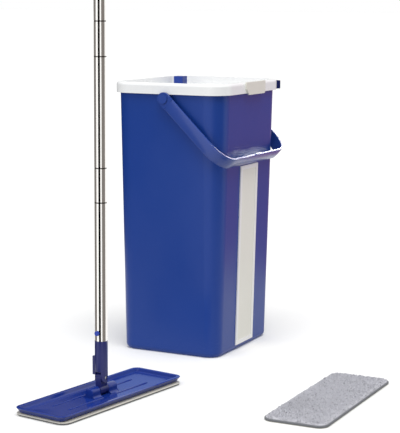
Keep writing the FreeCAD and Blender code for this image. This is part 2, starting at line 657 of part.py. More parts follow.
def front_clip():
    """The cream clip on the front of the skirt: a slanted plate that hangs just below it."""
    body = doc.addObject("PartDesign::Body", "clip_body")
    sketch = body.newObject("Sketcher::SketchObject", "clip_outline")
    sketch.AttachmentSupport = [(plane(body, "XZ_Plane"), "")]
    sketch.MapMode = "FlatFace"
    left = size("clip_x") - size("clip_length") / 2
    right = size("clip_x") + size("clip_length") / 2
    low = doc_value(SKIRT_LOW) - size("clip_drop")
    high = doc_value(RIM_TOP) + size("clip_rise")
    slant, chamfer = size("clip_slant"), size("clip_chamfer")
    corners = [(left + slant, low), (right - chamfer, low), (right, low + chamfer), (right, high),
               (left, high), (left, low + slant)]
    count = len(corners)
    for index, (x, z) in enumerate(corners):
        after = corners[(index + 1) % count]
        sketch.addGeometry(Part.LineSegment(Vector(x, z), Vector(*after)))
    for index in range(count):
        sketch.addConstraint(Sketcher.Constraint("Coincident", index, 2, (index + 1) % count, 1))
    pad = body.newObject("PartDesign::Pad", "clip_pad")
    pad.Profile = sketch
    bind(pad, Length="clip_wall")
    bind(sketch, AttachmentOffset__Base__z=f"({RIM_WIDTH}) / 2")
    doc.recompute()
    keep("front_clip", body)


def corner_tab():
    """The navy tab at the front right corner, shaped to the rounded corner that it sits on."""
    block = doc.addObject("Part::Box", "corner_block")
    bind(block, Length="corner_reach + rim_radius", Width="corner_width", Height="corner_height")
    turn = Rotation(Vector(0, 0, 1), -45)
    centre = Vector(
        doc_value(f"({RIM_LENGTH}) / 2 - rim_radius"),
        -doc_value(f"({RIM_WIDTH}) / 2 - rim_radius"),
        doc_value(f"{SKIRT_LOW} + corner_low"),
    )
    block.Placement = Placement(
        centre + turn.multVec(Vector(0, -size("corner_width") / 2, 0)), turn
    )
    seat = prism("corner_seat", RIM_LENGTH, RIM_WIDTH, "rim_radius", SKIRT_LOW, RIM_TOP)
    keep("corner_tab", cut("corner_part", block, seat))


def mop_plate():
    """The blue head plate: undercut sides, raised rim, sunken panel, ridges and two knuckles."""
    outer = taper("plate_outer", "plate_length - 2 * plate_tuck", "plate_width - 2 * plate_tuck",
                  "plate_radius - plate_tuck", PLATE_LOW, PLATE_TOP, "atan(plate_tuck / plate_wall)")
    inner_length = "plate_length - 2 * plate_rim"
    inner_width = "plate_width - 2 * plate_rim"
    well = prism("plate_well", inner_length, inner_width, "plate_radius - plate_rim / 2", PANEL_TOP,
                 f"{PLATE_TOP} + {OVER}")
    additions = []
    knuckle_x = "(block_length / 2 + part_gap)"
    foot = f"{PANEL_TOP} - {SINK}"
    for side, name in SIDES:
        start = knuckle_x if side > 0 else f"0 - {knuckle_x} - knuckle_length"
        middle = f"{side} * ({knuckle_x} + knuckle_length / 2)"
        additions.append(rod(f"{name}_knuckle", "knuckle_radius", "knuckle_length", start,
                             low=TILT_HEIGHT, axis="X"))
        additions.append(box(f"{name}_knuckle_foot", "knuckle_length", "2 * knuckle_radius",
                             f"knuckle_radius + knuckle_rise + {SINK}", x=middle, low=foot))
        for other, row in SIDES:
            additions.append(box(f"{name}_ridge_{row}", "ridge_end - ridge_start", "ridge_width",
                                 f"ridge_rise + {SINK}", y=f"{other} * ridge_apart / 2", low=foot,
                                 x=f"{side} * (ridge_start + ridge_end) / 2"))
    bore = rod("tilt_bore", "pin_radius", f"2 * ({knuckle_x} + knuckle_length + {OVER})",
               f"0 - {knuckle_x} - knuckle_length - {OVER}", low=TILT_HEIGHT, axis="X")
    solid = fuse("plate_solid", cut("plate_tray", outer, well), *additions)
    keep("mop_plate", cut("plate_part", solid, bore), mop=True)


def joint_pin(node, half, height, axis):
    """A plain pin through the mop's joint, as long on each side of the middle as half says."""
    if axis == "X":
        solid = rod(f"{node}_rod", "pin_radius", f"2 * {half}", f"0 - {half}", low=height, axis="X")
    else:
        solid = rod(f"{node}_rod", "pin_radius", f"2 * {half}", "0", f"0 - {half}", height, "Y")
    keep(node, group(f"{node}_whole", solid), mop=True)


def hook_strips():
    """Two strips of hook tape under the plate that hold the pad."""
    strips = [box(f"{name}_hook_strip", "plate_length - 2 * hook_inset", "hook_width", "hook_wall",
                  y=f"{side} * hook_apart / 2", low="pile_height + backing_wall")
              for side, name in SIDES]
    keep("hook_strips", group("hook_pair", *strips), mop=True)


def mop_pad():
    """The pad in use: a backing that the hooks grip and pressed pile that stands on the floor."""
    backing = prism("backing_prism", "pad_length", "pad_width", "pad_radius", "pile_height",
                    "pile_height + backing_wall")
    keep("mop_pad_backing", backing, mop=True)
    pile = prism("pile_prism", "pad_length", "pad_width", "pad_radius", "0", "pile_height")
    keep("mop_pad_pile", pile, mop=True)


def spare_pad():
    """The spare pad, lying on its backing with its pile up."""
    place = Placement(Vector(size("spare_x"), size("spare_y"), 0), Rotation())
    backing = prism("spare_backing", "pad_length", "pad_width", "pad_radius", "0", "backing_wall")
    keep("spare_pad_backing", backing, turn=place)
    pile = prism("spare_pile_body", "pad_length", "pad_width", "pad_radius", "backing_wall",
                 "backing_wall + spare_pile")
    keep("spare_pad_pile", pile, turn=place)


def swivel_block():
    """The cross block of the joint: a barrel on the tilt pin and a lug for the fold pin."""
    barrel = rod("block_barrel", "knuckle_radius", "block_length", "0 - block_length / 2",
                 low=TILT_HEIGHT, axis="X")
    neck = box("block_neck", "2 * lug_radius", "block_wall", "pin_rise", low=TILT_HEIGHT)
    lug = rod("block_lug", "lug_radius", "block_wall", "0", "0 - block_wall / 2", FOLD_HEIGHT, "Y")
    tilt = rod("block_tilt_bore", "pin_radius + stud_fit", f"block_length + 2 * {OVER}",
               f"0 - block_length / 2 - {OVER}", low=TILT_HEIGHT, axis="X")
    fold = rod("block_fold_bore", "pin_radius", f"block_wall + 2 * {OVER}", "0",
               f"0 - block_wall / 2 - {OVER}", FOLD_HEIGHT, "Y")
    solid = fuse("block_solid", barrel, neck, lug)
    keep("swivel_block", cut("block_part", solid, tilt, fold), mop=True)


def pole_socket():
    """The socket: a round body on two fork legs, with a hollow spigot inside the lowest rod."""
    foot = f"({FOLD_HEIGHT} - lug_radius)"
    column = rod("socket_column", "socket_radius", f"socket_top - {foot}", low=foot)
    across = f"2 * (socket_radius + {OVER})"
    start = f"0 - socket_radius - {OVER}"
    end = rod("socket_end", "lug_radius", across, "0", start, FOLD_HEIGHT, "Y")
    below = box("socket_below", across, across, f"lug_radius + {OVER}", low=f"{foot} - {OVER}")
    legs = cut("socket_upper", column, cut("socket_round", below, end), *leg_sides())
    spigot = rod("socket_spigot", ROD_BORE, f"spigot_length + {OVER}", low=f"socket_top - {OVER}")
    solid = fuse("socket_solid", legs, spigot)
    gap = box("socket_gap", across, "block_wall + 2 * part_gap", f"2 * (lug_radius + part_gap)",
              low=f"{FOLD_HEIGHT} - lug_radius - part_gap")
    fold = rod("socket_fold_bore", "pin_radius + stud_fit", across, "0", start, FOLD_HEIGHT, "Y")
    bore = rod("spigot_bore", f"{ROD_BORE} - spigot_wall", "spigot_length", low="socket_top + part_gap")
    hole = rod("spigot_button_hole", "button_radius + part_gap", f"pole_radius + {OVER}",
               f"0 - pole_radius - {OVER}", low=BUTTON_HEIGHT, axis="X")
    key = box("slide_slot", "slide_half + 2 * part_gap", "2 * (slide_key + part_gap)",
              f"slide_length - slide_key_low + slide_travel + 2 * {OVER}", y="socket_radius",
              low=f"{KEY_LOW} - slide_travel - {OVER}")
    keep("pole_socket", cut("socket_part", solid, gap, fold, bore, hole, key), mop=True)


def leg_sides():
    """What is taken off both sides of the socket's column to leave the two narrower fork legs."""
    return [box(f"{name}_leg_side", "socket_radius", f"2 * (socket_radius + {OVER})",
                f"leg_rise + {OVER}", x=f"{side} * (lug_radius + socket_radius / 2)",
                low=f"{FOLD_HEIGHT} - {OVER}")
            for side, name in SIDES]


def lock_slide():
    """The slide on the socket's side that locks the fold, with a key in the socket's slot."""
    plate = box("slide_plate", "2 * slide_half", "2 * slide_proud", "slide_length",
                y="socket_radius", low="slide_low")
    clear = rod("slide_clear", "socket_radius + part_gap", f"slide_length + 2 * {OVER}",
                low=f"slide_low - {OVER}")
    key = box("slide_key_part", "slide_half", "slide_key + slide_proud - part_gap",
              "slide_length - slide_key_low",
              y="socket_radius + (slide_proud - part_gap - slide_key) / 2", low=KEY_LOW)
    keep("lock_slide", fuse("slide_part", cut("slide_shell", plate, clear), key), mop=True)


def pole_rods():
    """The rods of the pole, end to end, each above the lowest with a crimp ring over its joiner."""
    for index in range(ROD_COUNT):
        low = "socket_top" if index == 0 else f"first_seam + {index - 1} * rod_pitch"
        length = "first_seam - socket_top" if index == 0 else "rod_pitch"
        name = f"pole_rod_{index + 1}"
        tools = [rod(f"{name}_bore", ROD_BORE, f"{length} + 2 * {OVER}", low=f"{low} - {OVER}")]
        if index == 0:
            tools.append(rod(f"{name}_hole", "button_radius + part_gap", f"pole_radius + {OVER}",
                             f"0 - pole_radius - {OVER}", low=BUTTON_HEIGHT, axis="X"))
        else:
            ring = rod(f"{name}_ring", f"pole_radius + {OVER}", "crimp_width",
                       low=f"{low} + crimp_rise")
            core = rod(f"{name}_core", "pole_radius - crimp_depth", f"crimp_width + 2 * {OVER}",
                       low=f"{low} + crimp_rise - {OVER}")
            tools.append(cut(f"{name}_crimp", ring, core))
        tube = rod(f"{name}_tube", "pole_radius", length, low=low)
        keep(name, cut(f"{name}_part", tube, *tools), mop=True)


def rod_connectors():
    """The joiners inside the rods, one at each seam, crimped in the rod above."""
    joiners = []
    for index in range(1, ROD_COUNT):
        low = f"first_seam + {index - 1} * rod_pitch - joiner_below"
        length = "joiner_below + crimp_rise + joiner_past"
        tube = rod(f"joiner_{index}", ROD_BORE, length, low=low)
        bore = rod(f"joiner_bore_{index}", f"{ROD_BORE} - joiner_wall",
                   f"{length} + 2 * {OVER}", low=f"{low} - {OVER}")
        joiners.append(cut(f"joiner_part_{index}", tube, bore))
    keep("rod_connectors", group("joiner_set", *joiners), mop=True)


def hand_grip():
    """The grip: a turned sleeve over the top rod, with a domed head and a hanging hole."""
    top_of_rods = f"first_seam + {ROD_COUNT - 1} * rod_pitch"
    foot = doc_value(f"{top_of_rods} - grip_sleeve")
    shoulder = doc_value(top_of_rods)
    head = shoulder + size("grip_head")
    radius = doc_value("grip_radius")
    body = doc.addObject("PartDesign::Body", "grip_body")
    sketch = body.newObject("Sketcher::SketchObject", "grip_profile")
    sketch.AttachmentSupport = [(plane(body, "XZ_Plane"), "")]
    sketch.MapMode = "FlatFace"
    waist = radius - size("grip_waist")
    bore = size("pole_radius")
    dome = size("grip_dome")
    bead, middle = foot + size("grip_bead"), (foot + shoulder) / 2
    outline = [(bore, foot), (waist, foot), (radius, bead), (waist, middle), (radius, shoulder),
               (radius, head - dome), (radius - dome, head), (0, head), (0, shoulder), (bore, shoulder)]
    count = len(outline)
    for index, (x, z) in enumerate(outline):
        after = outline[(index + 1) % count]
        if index == 5:
            circle = Part.Circle(Vector(radius - dome, head - dome), Vector(0, 0, 1), dome)
            sketch.addGeometry(Part.ArcOfCircle(circle, 0, math.pi / 2))
            continue
        sketch.addGeometry(Part.LineSegment(Vector(x, z), Vector(*after)))
    for index in range(count):
        sketch.addConstraint(Sketcher.Constraint("Coincident", index, 2, (index + 1) % count, 1))
    turned = body.newObject("PartDesign::Revolution", "grip_turned")
    turned.Profile = sketch
    turned.ReferenceAxis = (sketch, ["V_Axis"])
    turned.Angle = 360
    doc.recompute()
    across = f"2 * (grip_radius + {OVER})"
    hole = rod("hang_hole", "hang_radius", across, "0", f"0 - grip_radius - {OVER}",
               f"{top_of_rods} + grip_head - hang_below", "Y")
    flats = [box(f"{name}_grip_flat", across, "grip_radius", "grip_head - grip_flat_low",
                 y=f"{side} * (grip_flat + grip_radius / 2)", low=f"{top_of_rods} + grip_flat_low")
             for side, name in SIDES]
    keep("hand_grip", cut("grip_part", body, hole, *flats), mop=True)


def snap_button():
    """The button that locks the lowest rod on the spigot, and the leaf spring behind it."""
    end = "0 - pole_radius - button_proud"
    shaft = rod("button_shaft", "button_radius", "pole_radius + button_proud - spring_room", end,
                low=BUTTON_HEIGHT, axis="X")
    flange = rod("button_flange", "button_radius + button_flange", "2 * spring_wall",
                 "0 - spring_room - spring_wall", low=BUTTON_HEIGHT, axis="X")
    keep("snap_button", fuse("button_part", shaft, flange), mop=True)
    far = f"({ROD_BORE} - spigot_wall - part_gap)"
    near = "(spring_room - spring_wall)"
    low = f"{BUTTON_HEIGHT} - spring_below"
    outer = box("spring_outer", f"{far} + {near}", "spring_width", "spring_length",
                x=f"({far} - {near}) / 2", low=low)
    inner = box("spring_inner", f"{far} + {near} - 2 * spring_wall", f"spring_width + 2 * {OVER}",
                "spring_length", x=f"({far} - {near}) / 2", low=f"{low} - spring_wall")
    keep("button_spring", cut("spring_part", outer, inner), mop=True)


bucket_shell()
bail_rivets()
front_strip()
bail_handle()
rim_frame()
wash_chute()
wringer_cassette()
cassette_screws()
scraper_blades()
front_clip()
corner_tab()
mop_plate()
joint_pin("tilt_pin", "(block_length / 2 + knuckle_length - part_gap)", TILT_HEIGHT, "X")
joint_pin("fold_pin", "(socket_radius - slide_key - part_gap)", FOLD_HEIGHT, "Y")
hook_strips()
mop_pad()
swivel_block()
pole_socket()
lock_slide()
pole_rods()
rod_connectors()
hand_grip()
snap_button()
spare_pad()
doc.recompute()

for thing in doc.Objects:
    if "Invalid" in thing.State or "Error" in thing.State:
        raise RuntimeError(f"{thing.Name} failed: {thing.State}")
os.makedirs("parts", exist_ok=True)
for node, thing in subparts.items():
    shape = thing.Shape
    if shape.isNull() or not shape.isValid() or not shape.Solids:
        raise RuntimeError(f"{node} has no valid solid")
    shape.exportStep(f"parts/{node}.step")
    print(node, len(shape.Solids), round(shape.Volume / 1000, 2), "cm3")
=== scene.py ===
import json
import math

import bpy
import numpy as np
from mathutils import Matrix, Vector


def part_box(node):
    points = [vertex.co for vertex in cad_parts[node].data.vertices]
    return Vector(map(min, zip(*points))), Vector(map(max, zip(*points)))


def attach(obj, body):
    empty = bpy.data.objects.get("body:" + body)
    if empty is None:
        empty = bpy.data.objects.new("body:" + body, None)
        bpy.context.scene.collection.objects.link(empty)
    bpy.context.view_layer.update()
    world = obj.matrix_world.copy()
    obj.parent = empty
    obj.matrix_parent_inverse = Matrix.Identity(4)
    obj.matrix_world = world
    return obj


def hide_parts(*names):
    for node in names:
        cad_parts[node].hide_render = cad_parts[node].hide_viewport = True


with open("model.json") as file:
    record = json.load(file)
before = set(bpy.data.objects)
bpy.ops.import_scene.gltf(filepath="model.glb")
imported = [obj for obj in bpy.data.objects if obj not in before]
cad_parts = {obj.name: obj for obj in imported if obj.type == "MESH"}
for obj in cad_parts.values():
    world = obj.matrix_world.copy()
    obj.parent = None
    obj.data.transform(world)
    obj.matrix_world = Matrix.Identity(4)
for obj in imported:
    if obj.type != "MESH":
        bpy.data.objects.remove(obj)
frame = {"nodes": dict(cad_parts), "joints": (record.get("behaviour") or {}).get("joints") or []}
nodes = frame["nodes"]
joints = {joint["name"]: joint for joint in frame["joints"]}
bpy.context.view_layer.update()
MM = 0.001

# ---------------------------------------------------------------- bucket shell
# The tall tub: one injection moulding in blue polypropylene, its walls leaning out to the open top.
# The mould's fine spark texture takes the gloss down, and its foot is scuffed from standing on floors.


def linear(code):
    """A colour in sRGB hex as linear red, green, blue and an alpha of one."""
    parts = [int(code[i:i + 2], 16) / 255 for i in (1, 3, 5)]
    return tuple(p / 12.92 if p <= 0.04045 else ((p + 0.055) / 1.055) ** 2.4 for p in parts) + (1,)


def add(tree, kind, inputs, **settings):
    """Add a node: settings are its own properties, inputs are values or other nodes' outputs."""
    node = tree.nodes.new(kind)
    for name, value in settings.items():
        setattr(node, name, value)
    for name, value in inputs.items():
        socket = node.inputs[name]
        if isinstance(value, bpy.types.NodeSocket):
            tree.links.new(value, socket)
        else:
            socket.default_value = value
    return node


def empty_material(name):
    """A material with an empty tree, and the object's own coordinates in metres."""
    material = bpy.data.materials.new(name)
    material.use_nodes = True
    material.node_tree.nodes.clear()
    place = add(material.node_tree, "ShaderNodeTexCoord", {}).outputs["Object"]
    return material, material.node_tree, place


def finish_material(tree, shader):
    """Send a shader to the material's surface."""
    add(tree, "ShaderNodeOutputMaterial", {"Surface": shader.outputs[0]})


def give(material, *names):
    """Put a material in every slot of the named CAD nodes."""
    for name in names:
        for slot in nodes[name].material_slots:
            slot.material = material


def polypropylene(name, colour, worn, roughness, grain=0.12, specular=0.35, foot=0.0):
    """Moulded polypropylene: faint flow clouds, a spark texture of about 0.7 mm drawn at 1.4 mm so
    that it shows, shallow sink marks, and below the height foot pale scuffs in the worn colour."""
    material, tree, place = empty_material(name)
    clouds = add(tree, "ShaderNodeTexNoise", {"Vector": place, "Scale": 1 / 0.07, "Detail": 3.0})
    tone = add(tree, "ShaderNodeMapRange",
               {"Value": clouds.outputs["Fac"], "From Min": 0.3, "From Max": 0.7, "To Max": 0.1})
    base = add(tree, "ShaderNodeMixRGB",
               {"Fac": tone.outputs[0], "Color1": linear(colour), "Color2": linear(worn)})
    height = add(tree, "ShaderNodeSeparateXYZ", {"Vector": place})
    low = add(tree, "ShaderNodeMapRange",
              {"Value": height.outputs["Z"], "From Max": max(foot, 1e-4), "To Min": 1.0, "To Max": 0.0})
    streaks = add(tree, "ShaderNodeMapping", {"Vector": place, "Scale": (120.0, 120.0, 700.0)})
    rubs = add(tree, "ShaderNodeTexNoise",
               {"Vector": streaks.outputs[0], "Scale": 1.0, "Detail": 4.0, "Roughness": 0.6})
    rubbed = add(tree, "ShaderNodeMapRange",
                 {"Value": rubs.outputs["Fac"], "From Min": 0.56, "From Max": 0.7, "To Max": 0.5})
    scuffs = add(tree, "ShaderNodeMath", {0: low.outputs[0], 1: rubbed.outputs[0]},
                 operation="MULTIPLY")
    final = add(tree, "ShaderNodeMixRGB",
                {"Fac": scuffs.outputs[0], "Color1": base.outputs[0], "Color2": linear(worn)})
    gloss = add(tree, "ShaderNodeMapRange",
                {"Value": clouds.outputs["Fac"], "To Min": roughness - 0.05,
                 "To Max": roughness + 0.07})
    spark = add(tree, "ShaderNodeTexNoise", {"Vector": place, "Scale": 1 / 0.0014, "Detail": 2.0})
    sinks = add(tree, "ShaderNodeTexNoise", {"Vector": place, "Scale": 1 / 0.045, "Detail": 1.0})
    waves = add(tree, "ShaderNodeBump",
                {"Height": sinks.outputs["Fac"], "Strength": 0.25, "Distance": 0.0012})
    bump = add(tree, "ShaderNodeBump",
               {"Height": spark.outputs["Fac"], "Normal": waves.outputs[0], "Strength": grain,
                "Distance": 0.0002})
    shader = add(tree, "ShaderNodeBsdfPrincipled",
                 {"Base Color": final.outputs[0], "Roughness": gloss.outputs[0], "IOR": 1.49,
                  "Specular IOR Level": specular, "Normal": bump.outputs[0]})
    finish_material(tree, shader)
    return material


bucket_blue = polypropylene("bucket_polypropylene", "#123A8C", "#2F4C98", 0.34, foot=0.05)
give(bucket_blue, "bucket_shell")

# ---------------------------------------------------------------- front strip
# A panel inside a raised white border, both moulded in polypropylene and pressed into the
# shallow recess on the bucket's front. The panel is painted a darker cream than the border: painted
# shade for the panel sunk inside its border.
strip_white = polypropylene("strip_border_polypropylene", "#F3F3F2", "#DEDEDC", 0.34, grain=0.06)
strip_panel_shaded = polypropylene("strip_panel_polypropylene", "#ECEBE2", "#DAD8CC", 0.5, grain=0.2)
give(strip_white, "strip_border")
give(strip_panel_shaded, "strip_panel")

# ---------------------------------------------------------------- bail and its rivets
# The carrying bail: a crowned band of the bucket's blue polypropylene, bent into a U, with an eye
# at each end that turns on the shell's stud. A push-in rivet of the same blue keeps each eye on.
BAIL_WALL = 4.0 * MM
BAIL_BAND = 20.0 * MM
BAIL_CORNER = 34.0 * MM
BAIL_REACH = 137.5 * MM
BAIL_HANG = math.radians(44.0)
BAIL_CROWN = 0.9 * MM
BAIL_EDGE = 0.8 * MM
ARM_START = 11.0 * MM
EYE_HOLE = 5.0 * MM
EYE_TONGUE = 11.5 * MM
NUB_HALF = (7.5 * MM, 1.3 * MM, 1.5 * MM)
NUB_X = -6.0 * MM
SHARP_EDGE = math.radians(35.0)


def grid_faces(rows, columns, close_rows=False, close_columns=True):
    """The quads of a grid of points: each joins a point to its neighbours in its row and column."""
    row = np.arange(rows if close_rows else rows - 1)[:, None]
    column = np.arange(columns if close_columns else columns - 1)[None, :]
    after = (row + 1) % rows
    beside = (column + 1) % columns
    corners = [row * columns + column, row * columns + beside, after * columns + beside,
               after * columns + column]
    return np.stack([np.broadcast_to(c, (row.size, column.size)).ravel() for c in corners], 1)


def surface(points, close_rows=False):
    """Points on a grid of rows, each row a closed loop, as a pair of points and quads."""
    rows, columns = points.shape[:2]
    return points.reshape(-1, 3), grid_faces(rows, columns, close_rows)


def piece(name, parts, material):
    """One object from several closed surfaces, its doubles merged and its faces turned outwards."""
    offsets = np.cumsum([0] + [len(points) for points, _ in parts[:-1]])
    points = np.concatenate([part[0] for part in parts])
    faces = np.concatenate([part[1] + offset for part, offset in zip(parts, offsets)])
    mesh = bpy.data.meshes.new(name)
    mesh.from_pydata(points, [], faces)
    obj = bpy.data.objects.new(name, mesh)
    bpy.context.scene.collection.objects.link(obj)
    bpy.context.view_layer.objects.active = obj
    for other in bpy.context.selected_objects:
        other.select_set(False)
    obj.select_set(True)
    bpy.ops.object.mode_set(mode="EDIT")
    bpy.ops.mesh.select_all(action="SELECT")
    bpy.ops.mesh.remove_doubles(threshold=1e-6)
    bpy.ops.mesh.dissolve_degenerate(threshold=1e-7)
    bpy.ops.mesh.normals_make_consistent(inside=False)
    bpy.ops.object.mode_set(mode="OBJECT")
    mesh.shade_smooth()
    mesh.set_sharp_from_angle(angle=SHARP_EDGE)
    mesh.materials.append(material)
    return obj


def rounded_loop(half_x, half_y, radius, arc=9, side=0):
    """Loops round rectangles with rounded corners, one for each value of the three arrays: each
    corner's arc turns a quarter about its centre, and side points divide each straight run."""
    half_x, half_y, radius = (np.atleast_1d(np.asarray(v, float))[:, None]
                              for v in (half_x, half_y, radius))
    turn = np.linspace(0, math.pi / 2, arc)[None, :]
    share = np.linspace(0, 1, side + 2)[1:-1]
    arcs = []
    for sx, sy, start in ((1, 1, 0), (-1, 1, 90), (-1, -1, 180), (1, -1, 270)):
        angle = turn + math.radians(start)
        x = sx * (half_x - radius) + radius * np.cos(angle)
        y = sy * (half_y - radius) + radius * np.sin(angle)
        arcs.append(np.stack([x, y], 2))
    runs = []
    for index, quarter in enumerate(arcs):
        following = arcs[(index + 1) % 4][:, :1]
        straight = quarter[:, -1:] + (following - quarter[:, -1:]) * share[None, :, None]
        runs += [quarter, straight]
    return np.concatenate(runs, 1)


def sweep(centre, across, up, section, capped=True):
    """A section carried along a path: each point is the path's point plus the section's first value
    times across plus its second times up. The ends close onto the path."""
    section = np.broadcast_to(section, (len(centre),) + section.shape[-2:])
    if capped:
        centre, across, up = (np.concatenate([v[:1], v, v[-1:]]) for v in (centre, across, up))
        section = np.concatenate([section[:1] * 0, section, section[-1:] * 0])
    return (centre[:, None] + across[:, None] * section[:, :, :1] + up[:, None] * section[:, :, 1:])


def bail_line(half):
    """The bail's U in its own plane, as points and outward directions: down an arm, a quarter turn,
    along the grip, a quarter turn and up the other arm."""
    arm = np.linspace(ARM_START, BAIL_REACH - BAIL_CORNER, 12)
    turn = np.linspace(0, math.pi / 2, 18)[1:]
    grip = np.linspace(BAIL_CORNER - half, half - BAIL_CORNER, 24)[1:]
    first = np.stack([np.full(arm.size, -half), arm], 1)
    bend = np.stack([BAIL_CORNER - half - BAIL_CORNER * np.cos(turn),
                     BAIL_REACH - BAIL_CORNER + BAIL_CORNER * np.sin(turn)], 1)
    cross = np.stack([grip, np.full(grip.size, BAIL_REACH)], 1)
    points = np.concatenate([first, bend, cross, (bend * (-1, 1))[::-1][1:], (first * (-1, 1))[::-1]])
    outs = np.concatenate([np.tile((-1.0, 0.0), (arm.size, 1)),
                           np.stack([-np.cos(turn), np.sin(turn)], 1),
                           np.tile((0.0, 1.0), (grip.size, 1)),
                           np.stack([np.cos(turn), np.sin(turn)], 1)[::-1][1:],
                           np.tile((1.0, 0.0), (arm.size, 1))])
    return points, outs


def superblock(centre, half, axes, power=4.0, count=16):
    """A rounded block: a ball whose sines and cosines are raised to the power two over power."""
    lat = np.linspace(-math.pi / 2, math.pi / 2, count)[:, None]
    lon = np.linspace(0, 2 * math.pi, 2 * count, endpoint=False)[None, :]

    def soft(value):
        return np.sign(value) * np.abs(value) ** (2 / power)

    local = np.stack([soft(np.cos(lat)) * soft(np.cos(lon)), soft(np.cos(lat)) * soft(np.sin(lon)),
                      soft(np.sin(lat)) * np.ones_like(lon)], 2) * np.array(half)
    return surface(np.asarray(centre) + local @ np.asarray(axes))


_, bail_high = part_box("bail_handle")
bail_half = bail_high.x - BAIL_WALL / 2
pivot = np.array(joints["bail_swing"]["pos_m"])
along = np.array((0, -math.cos(BAIL_HANG), -math.sin(BAIL_HANG)))
above = np.array((0, -math.sin(BAIL_HANG), math.cos(BAIL_HANG)))
right = np.array((1.0, 0.0, 0.0))
line, outward = bail_line(bail_half)
centre = pivot * (0, 1, 1) + line[:, :1] * right + line[:, 1:] * along
across = outward[:, :1] * right + outward[:, 1:] * along
loop = rounded_loop(BAIL_WALL / 2, BAIL_BAND / 2, BAIL_EDGE, arc=6, side=6)[0]
crown = np.where(loop[:, 0] > 0, BAIL_CROWN * (loop[:, 1] / (BAIL_BAND / 2)) ** 2, 0)
loop = loop - np.stack([crown, np.zeros_like(crown)], 1)
bail_parts = [surface(sweep(centre, across, np.tile(above, (len(centre), 1)), loop))]
theta = np.linspace(0, 2 * math.pi, 72, endpoint=False)
eye_width = BAIL_BAND / 2
toward = np.cos(theta)
stadium = np.where(toward > 0, np.minimum(eye_width / np.maximum(np.abs(np.sin(theta)), 1e-6),
                                          EYE_TONGUE / np.maximum(toward, 1e-6)), eye_width)
wall_loop = rounded_loop(0.5, BAIL_WALL / 2, 0.0, arc=2, side=3)[0]
for side in (-1, 1):
    radial = EYE_HOLE + (wall_loop[None, :, 0] + 0.5) * (stadium[:, None] - EYE_HOLE)
    radial = radial[:, :, None]
    spoke = np.cos(theta)[:, None] * along + np.sin(theta)[:, None] * above
    points = (pivot * (0, 1, 1) + side * bail_half * right
              + radial * spoke[:, None] + wall_loop[None, :, 1:] * right)
    bail_parts.append(surface(points, close_rows=True))
nub_centre = (pivot * (0, 1, 1) + NUB_X * right + BAIL_REACH * along
              + (BAIL_BAND / 2 + NUB_HALF[2] / 2) * above)
bail_parts.append(superblock(nub_centre, NUB_HALF, (right, along, above)))
bail_blue = polypropylene("bail_polypropylene", "#24418F", "#4C60AE", 0.2, grain=0.05, specular=0.5)
bail = piece("bail_band", bail_parts, bail_blue)
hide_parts("bail_handle")
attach(bail, "bail")
give(bail_blue, "bail_rivets")

# ---------------------------------------------------------------- rim and wash chute
# The lift-off top: white polypropylene, glossier than the tub, with a rounded lip and a sunken
# deck. The wash chute hangs from its left slot by a flange.
rim_white = polypropylene("rim_polypropylene", "#F1F2F2", "#DCDDDC", 0.26, grain=0.05, specular=0.5)
give(rim_white, "rim_frame", "wash_chute")

# ---------------------------------------------------------------- wringer
# The scraper cassette is blue polypropylene, held up under the deck by four zinc-plated screws.
# Its two blades are soft black rubber with a matt, dusty skin.
cassette_blue = polypropylene("cassette_polypropylene", "#1B3A93", "#4560B0", 0.35, grain=0.08)
give(cassette_blue, "wringer_cassette")


def rubber():
    """Moulded rubber: nearly black, matt, with a chalky bloom in soft patches."""
    material, tree, place = empty_material("blade_nitrile_rubber")
    bloom = add(tree, "ShaderNodeTexNoise", {"Vector": place, "Scale": 1 / 0.012, "Detail": 4.0})
    colour = add(tree, "ShaderNodeMixRGB", {"Fac": bloom.outputs["Fac"], "Color1": linear("#1C1D20"),
                                            "Color2": linear("#3A3B3E")})
    bump = add(tree, "ShaderNodeBump",
               {"Height": bloom.outputs["Fac"], "Strength": 0.2, "Distance": 0.0003})
    shader = add(tree, "ShaderNodeBsdfPrincipled",
                 {"Base Color": colour.outputs[0], "Roughness": 0.75, "Normal": bump.outputs[0]})
    finish_material(tree, shader)
    return material


def steel(name, colour, roughness, line_scale, rings=(), pitch=1.0):
    """Polished stainless steel: a mirror with drawing lines along its length and slight haze. Rings
    are heights on a tube, repeated at every pitch, where a dark band of painted shade sits in a seam or
    a groove."""
    material, tree, place = empty_material(name)
    stretched = add(tree, "ShaderNodeMapping", {"Vector": place, "Scale": line_scale})
    lines = add(tree, "ShaderNodeTexNoise",
                {"Vector": stretched.outputs[0], "Scale": 1.0, "Detail": 3.0})
    haze = add(tree, "ShaderNodeMapRange",
               {"Value": lines.outputs["Fac"], "To Min": roughness * 0.6, "To Max": roughness * 1.5})
    bump = add(tree, "ShaderNodeBump",
               {"Height": lines.outputs["Fac"], "Strength": 0.05, "Distance": 0.0002})
    shader = add(tree, "ShaderNodeBsdfPrincipled",
                 {"Base Color": linear(colour), "Metallic": 1.0, "Roughness": haze.outputs[0],
                  "Normal": bump.outputs[0]})
    if rings:
        height = add(tree, "ShaderNodeSeparateXYZ", {"Vector": place}).outputs["Z"]
        nearest = 1.0
        for ring in rings:
            above = add(tree, "ShaderNodeMath", {0: height, 1: ring}, operation="SUBTRACT")
            away = add(tree, "ShaderNodeMath", {0: above.outputs[0], 1: pitch / 2},
                       operation="PINGPONG")
            nearest = add(tree, "ShaderNodeMath", {0: away.outputs[0], 1: nearest},
                          operation="MINIMUM").outputs[0]
        # Painted shade: a dark brownish band at each seam and groove of the tube.
        tint = add(tree, "ShaderNodeMapRange",
                   {"Value": nearest, "From Min": 0.4 * MM, "From Max": 1.1 * MM})
        seam_and_groove_shade = add(tree, "ShaderNodeMixRGB", {"Fac": tint.outputs[0], "Color1": linear("#38332F"),
                                               "Color2": linear(colour)})
        tree.links.new(seam_and_groove_shade.outputs[0], shader.inputs["Base Color"])
    finish_material(tree, shader)
    return material


